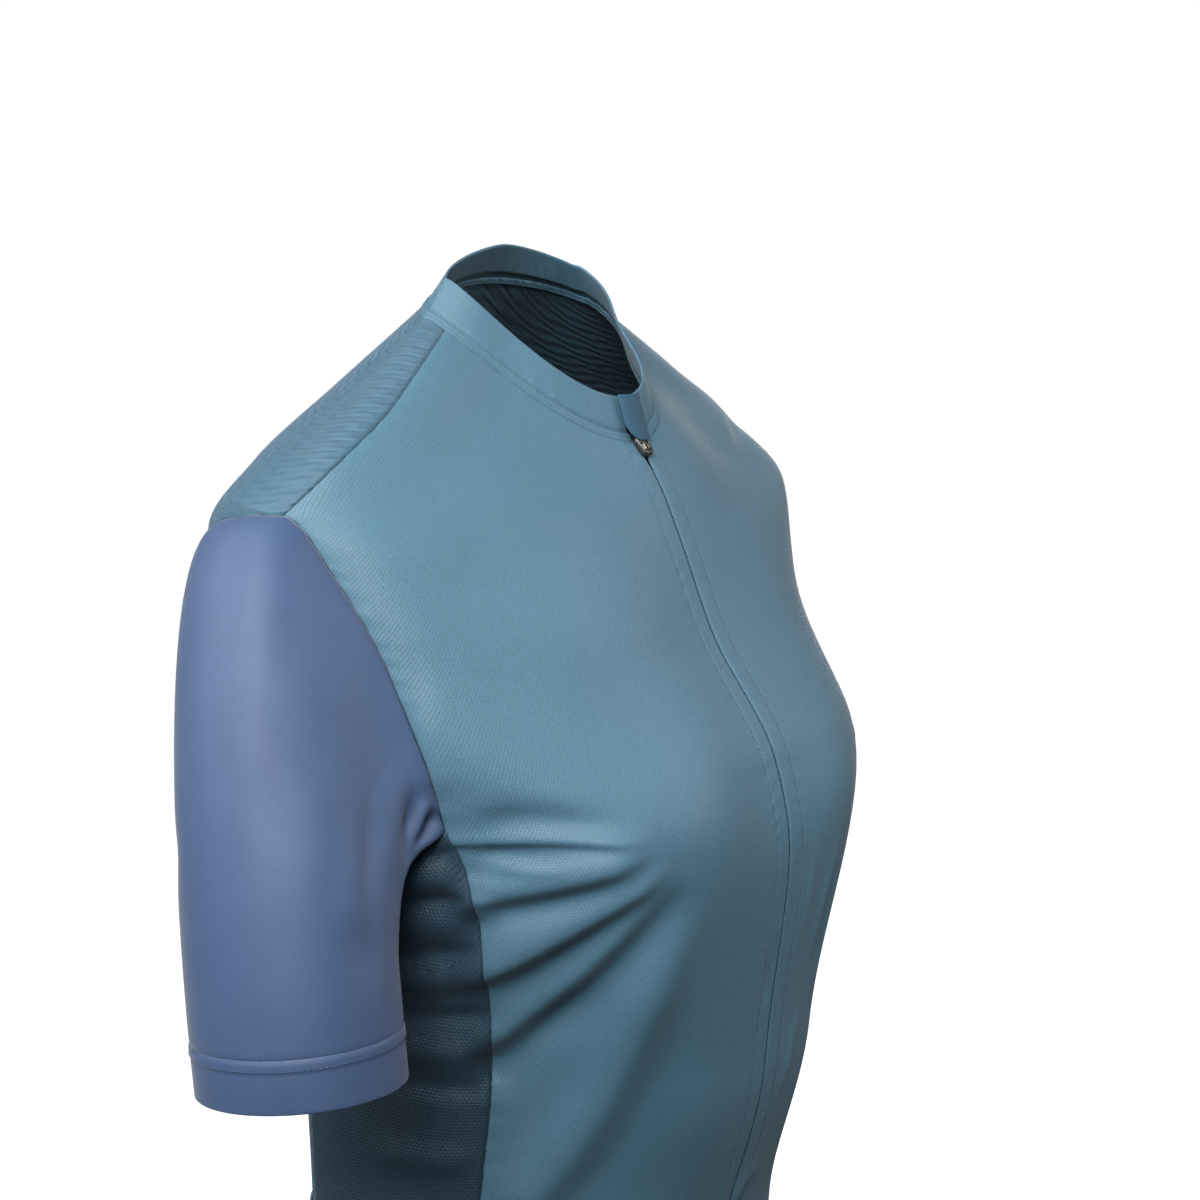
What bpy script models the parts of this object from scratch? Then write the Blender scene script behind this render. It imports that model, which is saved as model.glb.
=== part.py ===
"""A short-sleeved cycling jersey with a full-length front zip, in its worn, hollow form.

Metres, +Z up. The wearer faces -Y, so +X is the wearer's left. The origin lies midway
between the two neck points, where the collar meets the tops of the shoulders.

Every panel of the body is cut from one smooth hollow form, given by angle and level.
The angle goes round the body: 0 at the front zip, +90 at the wearer's left side, 180 at
the middle of the back. The level goes up it: 0 at the hem and 1 at the collar seam.
"""

import bpy
import numpy as np
from mathutils import Vector

# ---------------------------------------------------------------- sizes of the cloth
WALL = 0.0012
TAPE_WALL = 0.0010
SEAM_INSET = 0.00022
LAYER_GAP = 0.0003

# ---------------------------------------------------------------- the body's form
# One row for each section round the body, from the hem to the collar seam.
SECTION_COLUMNS = (
    "level", "half_width", "front_y", "side_y", "back_y", "front_z", "side_z", "back_z",
    "front_square", "back_square", "front_dip", "back_dip",
)
SECTIONS = (
    (0.00, 0.165, -0.114, -0.004, 0.098, -0.586, -0.585, -0.598, 2.25, 2.25, 2.00, 2.00),
    (0.12, 0.149, -0.103, -0.003, 0.088, -0.511, -0.509, -0.514, 2.25, 2.25, 2.00, 2.00),
    (0.28, 0.126, -0.111, -0.001, 0.075, -0.424, -0.414, -0.415, 2.20, 2.25, 2.00, 2.00),
    (0.42, 0.126, -0.132, -0.001, 0.080, -0.334, -0.323, -0.325, 2.20, 2.25, 2.00, 2.00),
    (0.54, 0.143, -0.131, -0.002, 0.093, -0.243, -0.250, -0.250, 2.25, 2.30, 2.00, 2.00),
    (0.64, 0.163, -0.123, -0.004, 0.099, -0.191, -0.197, -0.182, 2.30, 2.35, 2.00, 2.00),
    (0.74, 0.168, -0.098, -0.002, 0.097, -0.138, -0.136, -0.121, 2.30, 2.35, 2.00, 2.00),
    (0.82, 0.184, -0.089, -0.003, 0.089, -0.103, -0.079, -0.080, 2.30, 2.30, 2.07, 2.02),
    (0.88, 0.161, -0.085, -0.002, 0.076, -0.089, -0.054, -0.051, 2.15, 2.15, 2.12, 2.03),
    (0.94, 0.112, -0.079, -0.001, 0.052, -0.072, -0.025, -0.018, 2.05, 2.05, 1.79, 1.95),
    (1.00, 0.065, -0.067, 0.000, 0.031, -0.051, 0.000, 0.008, 2.00, 2.00, 1.28, 1.79),
)

# Fullness that the front panels' cut holds over the chest, one on each side.
FULLNESS_X = 0.085
FULLNESS_Z = -0.2135
FULLNESS_ACROSS = 0.062
FULLNESS_ABOVE = 0.077
FULLNESS_BELOW = 0.066
FULLNESS_DEPTH = 0.025

# ---------------------------------------------------------------- seams
# Angles are those of the wearer's left; the right side takes them negative.
SEAM_COLUMNS = ("along", "angle", "level")
FRONT_SIDE_SEAM = (
    (0.00, 62.0, 0.000),
    (0.30, 62.5, 0.200),
    (0.55, 63.3, 0.350),
    (0.68, 63.0, 0.430),
    (0.82, 62.6, 0.520),
    (0.93, 62.2, 0.593),
    (1.00, 63.3, 0.627),
)
BACK_SIDE_SEAM = (
    (0.00, 120.0, 0.000),
    (0.50, 120.5, 0.335),
    (1.00, 119.0, 0.627),
)
ARMHOLE = (
    (0.000, 87.0, 0.8438),
    (0.045, 80.0, 0.8340),
    (0.120, 72.0, 0.7980),
    (0.170, 68.0, 0.7690),
    (0.220, 65.5, 0.7360),
    (0.270, 64.0, 0.7000),
    (0.320, 63.3, 0.6700),
    (0.395, 63.3, 0.6270),
    (0.440, 72.0, 0.6080),
    (0.500, 90.0, 0.5950),
    (0.560, 108.0, 0.6060),
    (0.610, 119.0, 0.6270),
    (0.680, 122.5, 0.6820),
    (0.760, 123.0, 0.7400),
    (0.830, 121.5, 0.7900),
    (0.895, 116.0, 0.8220),
    (0.940, 107.0, 0.8360),
    (1.000, 87.0, 0.8438),
)
ARMHOLE_FRONT = (0.0, 0.395)
ARMHOLE_UNDER = (0.395, 0.610)
ARMHOLE_BACK = (0.610, 1.0)
YOKE_SEAM = (
    (0.00, 87.0, 0.8438),
    (0.20, 83.0, 0.8700),
    (0.45, 79.5, 0.9000),
    (0.65, 78.5, 0.9310),
    (0.82, 79.5, 0.9660),
    (1.00, 81.0, 1.0000),
)

# ---------------------------------------------------------------- mesh of the panels
LOWER_ROWS = 7
WAIST_ROWS = 29
WAIST_FROM = 0.55
ARMHOLE_ROWS = 10
YOKE_ROWS = 7
UNDERARM_COLUMNS = 6
FRONT_COLUMNS = 10
HALF_BACK_COLUMNS = 9
CURVE_STEPS = 240
TURN_STEP = 0.05
CLIMB_STEP = 0.0005

# ---------------------------------------------------------------- the largest folds
# Each fold runs from a start to an end on the body. It stands out by its height, or
# sinks where that is negative, and dies away over the widths to the left and right of
# its line, as seen from outside. It grows over the rise and dies over the fall, both
# fractions of its length.
FOLD_COLUMNS = (
    "angle_a", "level_a", "angle_b", "level_b", "bow",
    "height", "left", "right", "rise", "fall",
)
FOLDS = (
    # drag lines from the chest to the side seam, on the wearer's right
    (-37, 0.630, -54, 0.648, 0.000, -0.0024, 0.0080, 0.0110, 0.40, 0.50),
    (-33, 0.604, -61, 0.628, 0.004, 0.0052, 0.0056, 0.0095, 0.30, 0.10),
    (-32, 0.602, -63, 0.612, 0.002, -0.0040, 0.0046, 0.0042, 0.25, 0.10),
    (-34, 0.590, -62, 0.580, 0.001, 0.0048, 0.0060, 0.0064, 0.30, 0.15),
    (-35, 0.578, -63, 0.562, 0.002, -0.0042, 0.0060, 0.0056, 0.30, 0.15),
    (-35, 0.567, -62, 0.545, 0.002, 0.0040, 0.0065, 0.0075, 0.30, 0.15),
    (-34, 0.559, -63, 0.511, 0.004, -0.0040, 0.0070, 0.0065, 0.30, 0.20),
    (-32, 0.555, -62, 0.482, 0.003, 0.0054, 0.0085, 0.0085, 0.30, 0.20),
    (-29, 0.552, -64, 0.448, -0.006, -0.0064, 0.0100, 0.0095, 0.28, 0.15),
    (-26, 0.546, -61, 0.391, 0.004, 0.0072, 0.0120, 0.0135, 0.28, 0.15),
    (-28, 0.496, -62, 0.368, -0.004, -0.0056, 0.0110, 0.0110, 0.30, 0.20),
    (-29, 0.476, -62, 0.350, -0.006, 0.0060, 0.0115, 0.0120, 0.35, 0.20),
    (-33, 0.446, -53, 0.345, 0.000, -0.0044, 0.0115, 0.0110, 0.40, 0.30),
    # drag lines on the wearer's left
    (40, 0.606, 61, 0.624, 0.003, 0.0034, 0.0090, 0.0062, 0.40, 0.10),
    (40, 0.600, 63, 0.606, 0.001, -0.0026, 0.0046, 0.0048, 0.40, 0.10),
    (39, 0.582, 62, 0.568, 0.002, 0.0034, 0.0078, 0.0068, 0.40, 0.15),
    (39, 0.571, 63, 0.543, 0.002, -0.0030, 0.0068, 0.0070, 0.40, 0.15),
    (37, 0.558, 62, 0.512, 0.003, 0.0036, 0.0090, 0.0088, 0.40, 0.20),
    (36, 0.546, 63, 0.476, -0.004, -0.0038, 0.0095, 0.0100, 0.40, 0.15),
    (35, 0.524, 61, 0.434, 0.004, 0.0044, 0.0130, 0.0120, 0.40, 0.15),
    (35, 0.486, 62, 0.400, -0.004, -0.0034, 0.0110, 0.0115, 0.40, 0.20),
    (34, 0.466, 61, 0.362, 0.002, 0.0036, 0.0125, 0.0120, 0.40, 0.20),
    # short creases across the side panels
    (-63, 0.586, -88, 0.574, 0.000, 0.0032, 0.0070, 0.0070, 0.15, 0.50),
    (-63, 0.546, -90, 0.532, 0.000, 0.0028, 0.0070, 0.0070, 0.15, 0.50),
    (-63, 0.504, -92, 0.484, 0.000, 0.0036, 0.0080, 0.0064, 0.15, 0.50),
    (-63, 0.444, -90, 0.436, 0.000, 0.0034, 0.0085, 0.0080, 0.20, 0.50),
    (63, 0.572, 90, 0.556, 0.000, 0.0032, 0.0075, 0.0070, 0.15, 0.50),
    (63, 0.508, 91, 0.494, 0.000, 0.0030, 0.0080, 0.0075, 0.15, 0.50),
    (63, 0.448, 92, 0.440, 0.000, 0.0032, 0.0085, 0.0080, 0.20, 0.50),
    # folds across the small of the back, and down from the underarms
    (150, 0.330, 208, 0.318, -0.012, 0.0040, 0.0120, 0.0120, 0.35, 0.35),
    (138, 0.382, 196, 0.396, -0.010, 0.0036, 0.0120, 0.0120, 0.35, 0.40),
    (160, 0.440, 222, 0.446, -0.012, 0.0034, 0.0120, 0.0120, 0.40, 0.35),
    (122, 0.600, 146, 0.470, 0.010, 0.0036, 0.0110, 0.0110, 0.20, 0.50),
    (238, 0.604, 216, 0.486, 0.012, 0.0038, 0.0110, 0.0110, 0.20, 0.50),
)
FOLD_STEPS = 14
FOLD_REACH = 3.2

# ---------------------------------------------------------------- sleeves
# Handles give each column's way out of the armhole: outwards, forwards and up.
SLEEVE_COLUMNS = (
    "side", "cuff_x", "cuff_y", "cuff_z", "lean_out", "lean_forward",
    "top_out", "top_forward", "top_up", "under_out", "under_forward", "under_up",
    "mid_out", "mid_forward", "mid_up",
)
SLEEVES = (
    (-1, 0.209, -0.033, -0.304, -0.035, 0.070,
     0.039, 0.000, -0.002, 0.025, 0.000, -0.038, 0.031, -0.006, -0.042),
    (1, 0.196, 0.036, -0.298, -0.010, -0.140,
     0.034, -0.012, -0.004, 0.031, -0.004, -0.036, 0.030, -0.012, -0.042),
)
CUFF_RADIUS_ACROSS = 0.043
CUFF_RADIUS_ALONG = 0.0465
CUFF_HANDLE = 0.096
CUFF_DEPTH = 0.022
SLEEVE_ROWS = 11
CUFF_ROWS = 2
BEZIER_STEPS = 60

# ---------------------------------------------------------------- collar
COLLAR_HEIGHT = 0.020
COLLAR_LEAN = 0.25
COLLAR_ROWS = 2
COLLAR_EDGE = 0.0050
NECK_CENTRE_Y = -0.018

# ---------------------------------------------------------------- pockets
POCKET_TOP_ROW = 6
POCKET_WALL = 0.0010

# ---------------------------------------------------------------- zip
FRONT_EDGE = 0.0005
FRONT_EDGE_AT_NECK = 0.0022
EDGE_OPENS_AT = 0.955
PLACKET = 0.0110
TAPE_INNER = 0.0026
TAPE_OUTER = 0.0106
COIL_HALF_WIDTH = 0.0021
COIL_THICKNESS = 0.0016
ZIP_HEAD_LEVELS = (0.975, 0.995)
SLIDER_WIDTH = 0.0085
SLIDER_LENGTH = 0.0100
SLIDER_THICKNESS = 0.0030
SLIDER_BEVEL = 0.0009
BEVEL_SEGMENTS = 2
CROWN_WIDTH = 0.0030
CROWN_LENGTH = 0.0048
CROWN_HEIGHT = 0.0012
CROWN_PLACE = -0.0062
PULL_WIDTH = 0.0046
PULL_LENGTH = 0.0130
PULL_THICKNESS = 0.0010
PULL_FOOT = 0.0006
PULL_OUT = 0.0008
GARAGE_RIGHT = -0.0125
GARAGE_LEFT = 0.0080
GARAGE_DROP = 0.0015
GARAGE_CORNER = 0.0088
GARAGE_WALL = 0.0010
GARAGE_AT_RIGHT = 0.0022
GARAGE_AT_LEFT = 0.00145
GARAGE_ARCH_LOW = 0.0044
GARAGE_ARCH_TOP = 0.0022
GARAGE_SQUARE = 0.36
GARAGE_COLUMNS = 10
GARAGE_ROWS = 6

# ---------------------------------------------------------------- colours
TEAL = (0.130, 0.240, 0.310)
TEAL_DARK = (0.100, 0.200, 0.265)
TEAL_BACK = (0.145, 0.265, 0.340)
INDIGO = (0.110, 0.150, 0.285)
GARAGE_TEAL = (0.055, 0.135, 0.185)
ZIP_BLACK = (0.012, 0.014, 0.018)
GUNMETAL = (0.090, 0.088, 0.082)


def columns_of(table, names):
    """Read a table of rows into one array for each named column."""
    values = np.array(table, dtype=float).T
    return dict(zip(names, values))


def end_slope(step, next_step, rate, next_rate):
    """Slope at the end of a shape-keeping curve, from its two nearest spans."""
    slope = ((2 * step + next_step) * rate - step * next_rate) / (step + next_step)
    if slope * rate <= 0:
        return 0.0
    if rate * next_rate <= 0 and abs(slope) > 3 * abs(rate):
        return 3 * rate
    return slope


def curve_through(knots, values, where):
    """A smooth curve through the values that never swings past them."""
    knots = np.asarray(knots, dtype=float)
    values = np.asarray(values, dtype=float)
    where = np.clip(where, knots[0], knots[-1])
    step = np.diff(knots)
    rate = np.diff(values) / step
    slope = np.zeros_like(values)
    for k in range(1, len(knots) - 1):
        if rate[k - 1] * rate[k] > 0:
            before = 2 * step[k] + step[k - 1]
            after = step[k] + 2 * step[k - 1]
            slope[k] = (before + after) / (before / rate[k - 1] + after / rate[k])
    slope[0] = end_slope(step[0], step[1], rate[0], rate[1])
    slope[-1] = end_slope(step[-1], step[-2], rate[-1], rate[-2])
    span = np.clip(np.searchsorted(knots, where, side="right") - 1, 0, len(step) - 1)
    width = step[span]
    t = (where - knots[span]) / width
    start = (2 * t ** 3 - 3 * t ** 2 + 1) * values[span]
    start = start + (t ** 3 - 2 * t ** 2 + t) * width * slope[span]
    end = (3 * t ** 2 - 2 * t ** 3) * values[span + 1]
    end = end + (t ** 3 - t ** 2) * width * slope[span + 1]
    return start + end


def smooth_step(t):
    """0 to 1 with flat ends."""
    t = np.clip(t, 0.0, 1.0)
    return t * t * (3 - 2 * t)


def unit(vectors):
    """Vectors scaled to length 1."""
    return vectors / np.linalg.norm(vectors, axis=-1, keepdims=True)


SECTION = columns_of(SECTIONS, SECTION_COLUMNS)


def section(name, level):
    """One named size of the body's sections at any level."""
    return curve_through(SECTION["level"], SECTION[name], level)


def body_form(angle, level):
    """Points of the smooth body at angles in degrees and levels from 0 to 1."""
    angle, level = np.broadcast_arrays(np.asarray(angle, float), np.asarray(level, float))
    turn = np.radians(angle)
    facing = np.cos(turn)
    aside = np.sin(turn)
    front = facing >= 0
    square = np.where(front, section("front_square", level), section("back_square", level))
    reach = (np.abs(facing) ** square + np.abs(aside) ** square) ** (-1 / square)
    depth = reach * np.abs(facing)
    x = section("half_width", level) * reach * aside
    side_y = section("side_y", level)
    side_z = section("side_z", level)
    middle_y = np.where(front, section("front_y", level), section("back_y", level))
    middle_z = np.where(front, section("front_z", level), section("back_z", level))
    dip = np.where(front, section("front_dip", level), section("back_dip", level))
    y = side_y + (middle_y - side_y) * depth
    z = side_z + (middle_z - side_z) * depth ** dip
    for side in (-1, 1):
        across = (x - side * FULLNESS_X) / FULLNESS_ACROSS
        rise = z - FULLNESS_Z
        rise = np.where(rise > 0, rise / FULLNESS_ABOVE, rise / FULLNESS_BELOW)
        y = y - front * FULLNESS_DEPTH * depth * np.exp(-(across ** 2 + rise ** 2) / 2)
    return np.stack([x, y, z], axis=-1)


def outward(form, angle, level):
    """Unit normals of a form, facing out, from its slopes each way."""
    low = np.clip(np.asarray(level, float) - CLIMB_STEP, 0, 1)
    high = np.clip(np.asarray(level, float) + CLIMB_STEP, 0, 1)
    round_it = form(angle + TURN_STEP, level) - form(angle - TURN_STEP, level)
    up_it = form(angle, high) - form(angle, low)
    return unit(np.cross(round_it, up_it))


def fold_relief(points, normals):
    """How far the folds lift each point of the smooth body."""
    lift = np.zeros(len(points))
    fold = columns_of(FOLDS, FOLD_COLUMNS)
    t = np.linspace(0, 1, FOLD_STEPS)
    for k in range(len(FOLDS)):
        angle = fold["angle_a"][k] + (fold["angle_b"][k] - fold["angle_a"][k]) * t
        level = fold["level_a"][k] + (fold["level_b"][k] - fold["level_a"][k]) * t
        line = body_form(angle, level + fold["bow"][k] * 4 * t * (1 - t))
        reach = FOLD_REACH * max(fold["left"][k], fold["right"][k])
        near = np.all((points > line.min(0) - reach) & (points < line.max(0) + reach), axis=1)
        here = points[near]
        if not len(here):
            continue
        run = np.diff(line, axis=0)
        away = here[:, None] - line[:-1]
        along = np.clip((away * run).sum(-1) / (run ** 2).sum(-1), 0, 1)
        miss = away - along[..., None] * run
        gap = np.linalg.norm(miss, axis=-1)
        nearest = gap.argmin(axis=1)
        pick = np.arange(len(here))
        place = (nearest + along[pick, nearest]) / (FOLD_STEPS - 1)
        leftward = np.cross(normals[near], run[nearest])
        is_left = (leftward * miss[pick, nearest]).sum(-1) > 0
        width = np.where(is_left, fold["left"][k], fold["right"][k])
        grow = smooth_step(place / fold["rise"][k]) * smooth_step((1 - place) / fold["fall"][k])
        lift[near] += fold["height"][k] * grow * np.exp(-(gap[pick, nearest] / width) ** 2)
    return lift


def cloth(angle, level):
    """Points of the folded body."""
    angle, level = np.broadcast_arrays(np.asarray(angle, float), np.asarray(level, float))
    smooth = body_form(angle, level)
    normals = outward(body_form, angle, level)
    lift = fold_relief(smooth.reshape(-1, 3), normals.reshape(-1, 3))
    return smooth + normals * lift.reshape(angle.shape)[..., None]


def seam(table, start, end, count):
    """Angles and levels at even steps of length along a seam, both ends included."""
    row = columns_of(table, SEAM_COLUMNS)
    fine = np.linspace(start, end, CURVE_STEPS)
    angle = curve_through(row["along"], row["angle"], fine)
    level = curve_through(row["along"], row["level"], fine)
    points = body_form(angle, level)
    length = np.concatenate([[0], np.cumsum(np.linalg.norm(np.diff(points, axis=0), axis=1))])
    even = np.linspace(0, length[-1], count + 1)
    return np.interp(even, length, angle), np.interp(even, length, level)


def seam_at_levels(table, levels):
    """Angles of a rising seam at given levels."""
    row = columns_of(table, SEAM_COLUMNS)
    return curve_through(row["level"], row["angle"], levels)


def front_edge(level):
    """Half the width of the slit between the two fronts."""
    opened = smooth_step((level - EDGE_OPENS_AT) / (1 - EDGE_OPENS_AT))
    return FRONT_EDGE + (FRONT_EDGE_AT_NECK - FRONT_EDGE) * opened


def angle_at_x(x, level):
    """The angle at which the front lies a given distance from its middle."""
    return np.degrees(np.arcsin(x / section("half_width", level)))


# The rows that the body panels share: levels of the side seams, then the armhole's
# front and back, then the yoke seam.
LOWER_LEVELS = seam(FRONT_SIDE_SEAM, 0, WAIST_FROM, LOWER_ROWS)[1]
WAIST_LEVELS = seam(FRONT_SIDE_SEAM, WAIST_FROM, 1, WAIST_ROWS)[1]
SIDE_LEVELS = np.concatenate([LOWER_LEVELS, WAIST_LEVELS[1:]])
FRONT_ARM = [values[::-1] for values in seam(ARMHOLE, *ARMHOLE_FRONT, ARMHOLE_ROWS)]
UNDER_ARM = seam(ARMHOLE, *ARMHOLE_UNDER, UNDERARM_COLUMNS)
BACK_ARM = seam(ARMHOLE, *ARMHOLE_BACK, ARMHOLE_ROWS)
YOKE = seam(YOKE_SEAM, 0, 1, YOKE_ROWS)


def front_panel(side):
    """Points of one front, from the zip to its side, armhole and yoke seams."""
    seam_angle = [seam_at_levels(FRONT_SIDE_SEAM, SIDE_LEVELS), FRONT_ARM[0][1:], YOKE[0][1:]]
    seam_level = [SIDE_LEVELS, FRONT_ARM[1][1:], YOKE[1][1:]]
    seam_angle = np.concatenate(seam_angle)[:, None]
    level = np.concatenate(seam_level)[:, None]
    edge = angle_at_x(front_edge(level), level)
    stitched = angle_at_x(PLACKET, level)
    across = np.linspace(0, 1, FRONT_COLUMNS)[None]
    angle = np.hstack([edge, stitched + (seam_angle - stitched) * across])
    if side < 0:
        return cloth(-angle[:, ::-1], level)
    return cloth(angle, level)


def side_panel(side):
    """Points of one side panel, from its front seam to its back seam."""
    across = np.linspace(0, 1, UNDERARM_COLUMNS + 1)[None]
    front = seam_at_levels(FRONT_SIDE_SEAM, SIDE_LEVELS)[:, None]
    back = seam_at_levels(BACK_SIDE_SEAM, SIDE_LEVELS)[:, None]
    angle = front + (back - front) * across
    level = SIDE_LEVELS[:, None] * (UNDER_ARM[1] / UNDER_ARM[1][0])[None]
    near_top = smooth_step(SIDE_LEVELS[:, None] / SIDE_LEVELS[-1])
    even = UNDER_ARM[0][None] - (UNDER_ARM[0][0] + (UNDER_ARM[0][-1] - UNDER_ARM[0][0]) * across)
    angle = angle + even * near_top ** 3
    if side < 0:
        return cloth(-angle[:, ::-1], level[:, ::-1])
    return cloth(angle, level)


def back_angles():
    """Angles and levels of the back, from the wearer's left seam round to the right."""
    seam_angle = [seam_at_levels(BACK_SIDE_SEAM, SIDE_LEVELS), BACK_ARM[0][1:], YOKE[0][1:]]
    seam_level = [SIDE_LEVELS, BACK_ARM[1][1:], YOKE[1][1:]]
    seam_angle = np.concatenate(seam_angle)[:, None]
    seam_level = np.concatenate(seam_level)[:, None]
    above = np.linspace(SIDE_LEVELS[-1], 1, ARMHOLE_ROWS + YOKE_ROWS + 1)[1:]
    middle_level = np.concatenate([SIDE_LEVELS, above])[:, None]
    across = np.linspace(0, 1, HALF_BACK_COLUMNS + 1)[None]
    angle = seam_angle + (180 - seam_angle) * across
    level = seam_level + (middle_level - seam_level) * across
    angle = np.hstack([angle, 360 - angle[:, -2::-1]])
    level = np.hstack([level, level[:, -2::-1]])
    return angle, level


def arm_ring(side):
    """The armhole's points on the body, from its top round the front, and their turns."""
    angle = np.concatenate([FRONT_ARM[0][::-1], UNDER_ARM[0][1:-1], BACK_ARM[0][:-1]])
    level = np.concatenate([FRONT_ARM[1][::-1], UNDER_ARM[1][1:-1], BACK_ARM[1][:-1]])
    points = cloth(side * angle, level)
    closed = np.vstack([points, points[:1]])
    length = np.concatenate([[0], np.cumsum(np.linalg.norm(np.diff(closed, axis=0), axis=1))])
    lowest = length[ARMHOLE_ROWS + UNDERARM_COLUMNS // 2]
    first_half = np.clip(length / lowest, 0, 1)
    second_half = np.clip((length - lowest) / (length[-1] - lowest), 0, 1)
    return points, (180 * (first_half + second_half))[:-1]


def sleeve_grid(sleeve):
    """Rings of one sleeve from the armhole to the end of its cuff."""
    side = sleeve["side"]
    armhole, turn = arm_ring(side)
    turn = np.radians(turn)[:, None]
    down = unit(np.array([side * sleeve["lean_out"], -sleeve["lean_forward"], -1.0]))
    out = np.array([side, 0.0, 0.0])
    out = unit(out - down * (out @ down))
    forward = np.cross(down, out) * side
    centre = np.array([side * sleeve["cuff_x"], sleeve["cuff_y"], sleeve["cuff_z"]])
    cuff = centre + CUFF_RADIUS_ACROSS * np.cos(turn) * out
    cuff = cuff + CUFF_RADIUS_ALONG * np.sin(turn) * forward

    def handle(place, flip):
        return np.array([
            side * sleeve[place + "_out"], -flip * sleeve[place + "_forward"], sleeve[place + "_up"],
        ])

    top = np.clip(np.cos(turn), 0, 1)
    under = np.clip(-np.cos(turn), 0, 1)
    leave = top * handle("top", 1) + under * handle("under", 1)
    facing = np.where(np.sin(turn) > 0, handle("mid", 1), handle("mid", -1))
    leave = leave + (1 - top - under) * facing
    t = np.linspace(0, 1, BEZIER_STEPS + 1)[:, None, None]
    first = armhole + leave
    last = cuff - down * CUFF_HANDLE
    path = (1 - t) ** 3 * armhole + 3 * (1 - t) ** 2 * t * first
    path = path + 3 * (1 - t) * t ** 2 * last + t ** 3 * cuff
    rings = np.empty((SLEEVE_ROWS + CUFF_ROWS + 1, len(turn), 3))
    for k in range(len(turn)):
        column = path[:, k]
        length = np.linalg.norm(np.diff(column, axis=0), axis=1).cumsum()
        length = np.concatenate([[0], length])
        seam_at = length[-1] - CUFF_DEPTH
        stops = np.linspace(0, seam_at, SLEEVE_ROWS + 1)
        stops = np.concatenate([stops, np.linspace(seam_at, length[-1], CUFF_ROWS + 1)[1:]])
        for axis in range(3):
            rings[:, k, axis] = np.interp(stops, length, column[:, axis])
    if side > 0:
        rings = rings[:, ::-1]
    return rings


def inset(grid, bottom=False, top=False, first=False, last=False):
    """Draw the chosen edges of a panel back from its seams."""
    grid = grid.copy()
    if bottom:
        grid[0] += SEAM_INSET * unit(grid[1] - grid[0])
    if top:
        grid[-1] += SEAM_INSET * unit(grid[-2] - grid[-1])
    if first:
        grid[:, 0] += SEAM_INSET * unit(grid[:, 1] - grid[:, 0])
    if last:
        grid[:, -1] += SEAM_INSET * unit(grid[:, -2] - grid[:, -1])
    return grid


def grid_normals(grid):
    """Outward normals at the points of an open grid."""
    return unit(np.cross(np.gradient(grid, axis=1), np.gradient(grid, axis=0)))


def fresh_collection(name):
    """A new collection in the scene."""
    collection = bpy.data.collections.new(name)
    bpy.context.scene.collection.children.link(collection)
    return collection


def material(name, colour, roughness, metallic=0.0):
    """A plain Principled material."""
    made = bpy.data.materials.new(name)
    made.use_nodes = True
    shader = made.node_tree.nodes["Principled BSDF"]
    shader.inputs["Base Color"].default_value = (*colour, 1.0)
    shader.inputs["Roughness"].default_value = roughness
    shader.inputs["Metallic"].default_value = metallic
    return made


def cloth_piece(name, grid, look, wall=WALL, tube=False):
    """A wall of cloth: an open grid of faces, thickened inwards by a Solidify modifier."""
    rows, columns = grid.shape[:2]
    spans = columns if tube else columns - 1
    faces = []
    for row in range(rows - 1):
        for column in range(spans):
            here = row * columns + column
            beside = row * columns + (column + 1) % columns
            faces.append((here, beside, beside + columns, here + columns))
    mesh = bpy.data.meshes.new(name)
    mesh.from_pydata([tuple(point) for point in grid.reshape(-1, 3).tolist()], [], faces)
    mesh.materials.append(look)
    mesh.shade_smooth()
    piece = bpy.data.objects.new(name, mesh)
    JERSEY.objects.link(piece)
    shell = piece.modifiers.new("wall", "SOLIDIFY")
    shell.thickness = wall
    shell.offset = -1.0
    shell.use_even_offset = True
    return piece


def block(name, width, length, height, bevel, look, collection):
    """A small bevelled block, flat in its own X and Y."""
    bpy.ops.mesh.primitive_cube_add(size=1.0)
    piece = bpy.context.active_object
    piece.name = name
    piece.data.name = name
    for holder in list(piece.users_collection):
        holder.objects.unlink(piece)
    collection.objects.link(piece)
    for vertex in piece.data.vertices:
        vertex.co = (vertex.co.x * width, vertex.co.y * length, vertex.co.z * height)
    piece.data.materials.append(look)
    round_off = piece.modifiers.new("edges", "BEVEL")
    round_off.width = bevel
    round_off.segments = BEVEL_SEGMENTS
    round_off.limit_method = "ANGLE"
    return piece


def collar_grid(back_angle):
    """Rows of the collar band, using the neck seam's own points."""
    edge = angle_at_x(COLLAR_EDGE, 1.0)
    stitched = angle_at_x(PLACKET, 1.0)
    across = np.linspace(0, 1, FRONT_COLUMNS)
    front = stitched + (YOKE[0][-1] - stitched) * across
    half = np.concatenate([[edge], front, back_angle[-1, 1:HALF_BACK_COLUMNS + 1]])
    angle = np.concatenate([half, 360 - half[-2::-1]])
    base = cloth(angle, 1.0)
    centre = np.stack([0 * angle, 0 * angle + NECK_CENTRE_Y, base[:, 2]], axis=-1)
    upright = np.array([0, 0, np.sqrt(1 - COLLAR_LEAN ** 2)])
    rise = unit(centre - base) * COLLAR_LEAN + upright
    heights = np.linspace(SEAM_INSET, COLLAR_HEIGHT, COLLAR_ROWS + 1)
    return base + heights[:, None, None] * rise


def inner_strip(edge, beside, near, far, depth):
    """Two columns of points behind a front, at set distances from its middle."""
    span = beside[:, 0] - edge[:, 0]
    strip = []
    for x in (near, far):
        share = ((x - edge[:, 0]) / span)[:, None]
        strip.append(edge + (beside - edge) * share)
    strip = np.stack(strip, axis=1)
    return strip - grid_normals(strip) * depth


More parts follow.
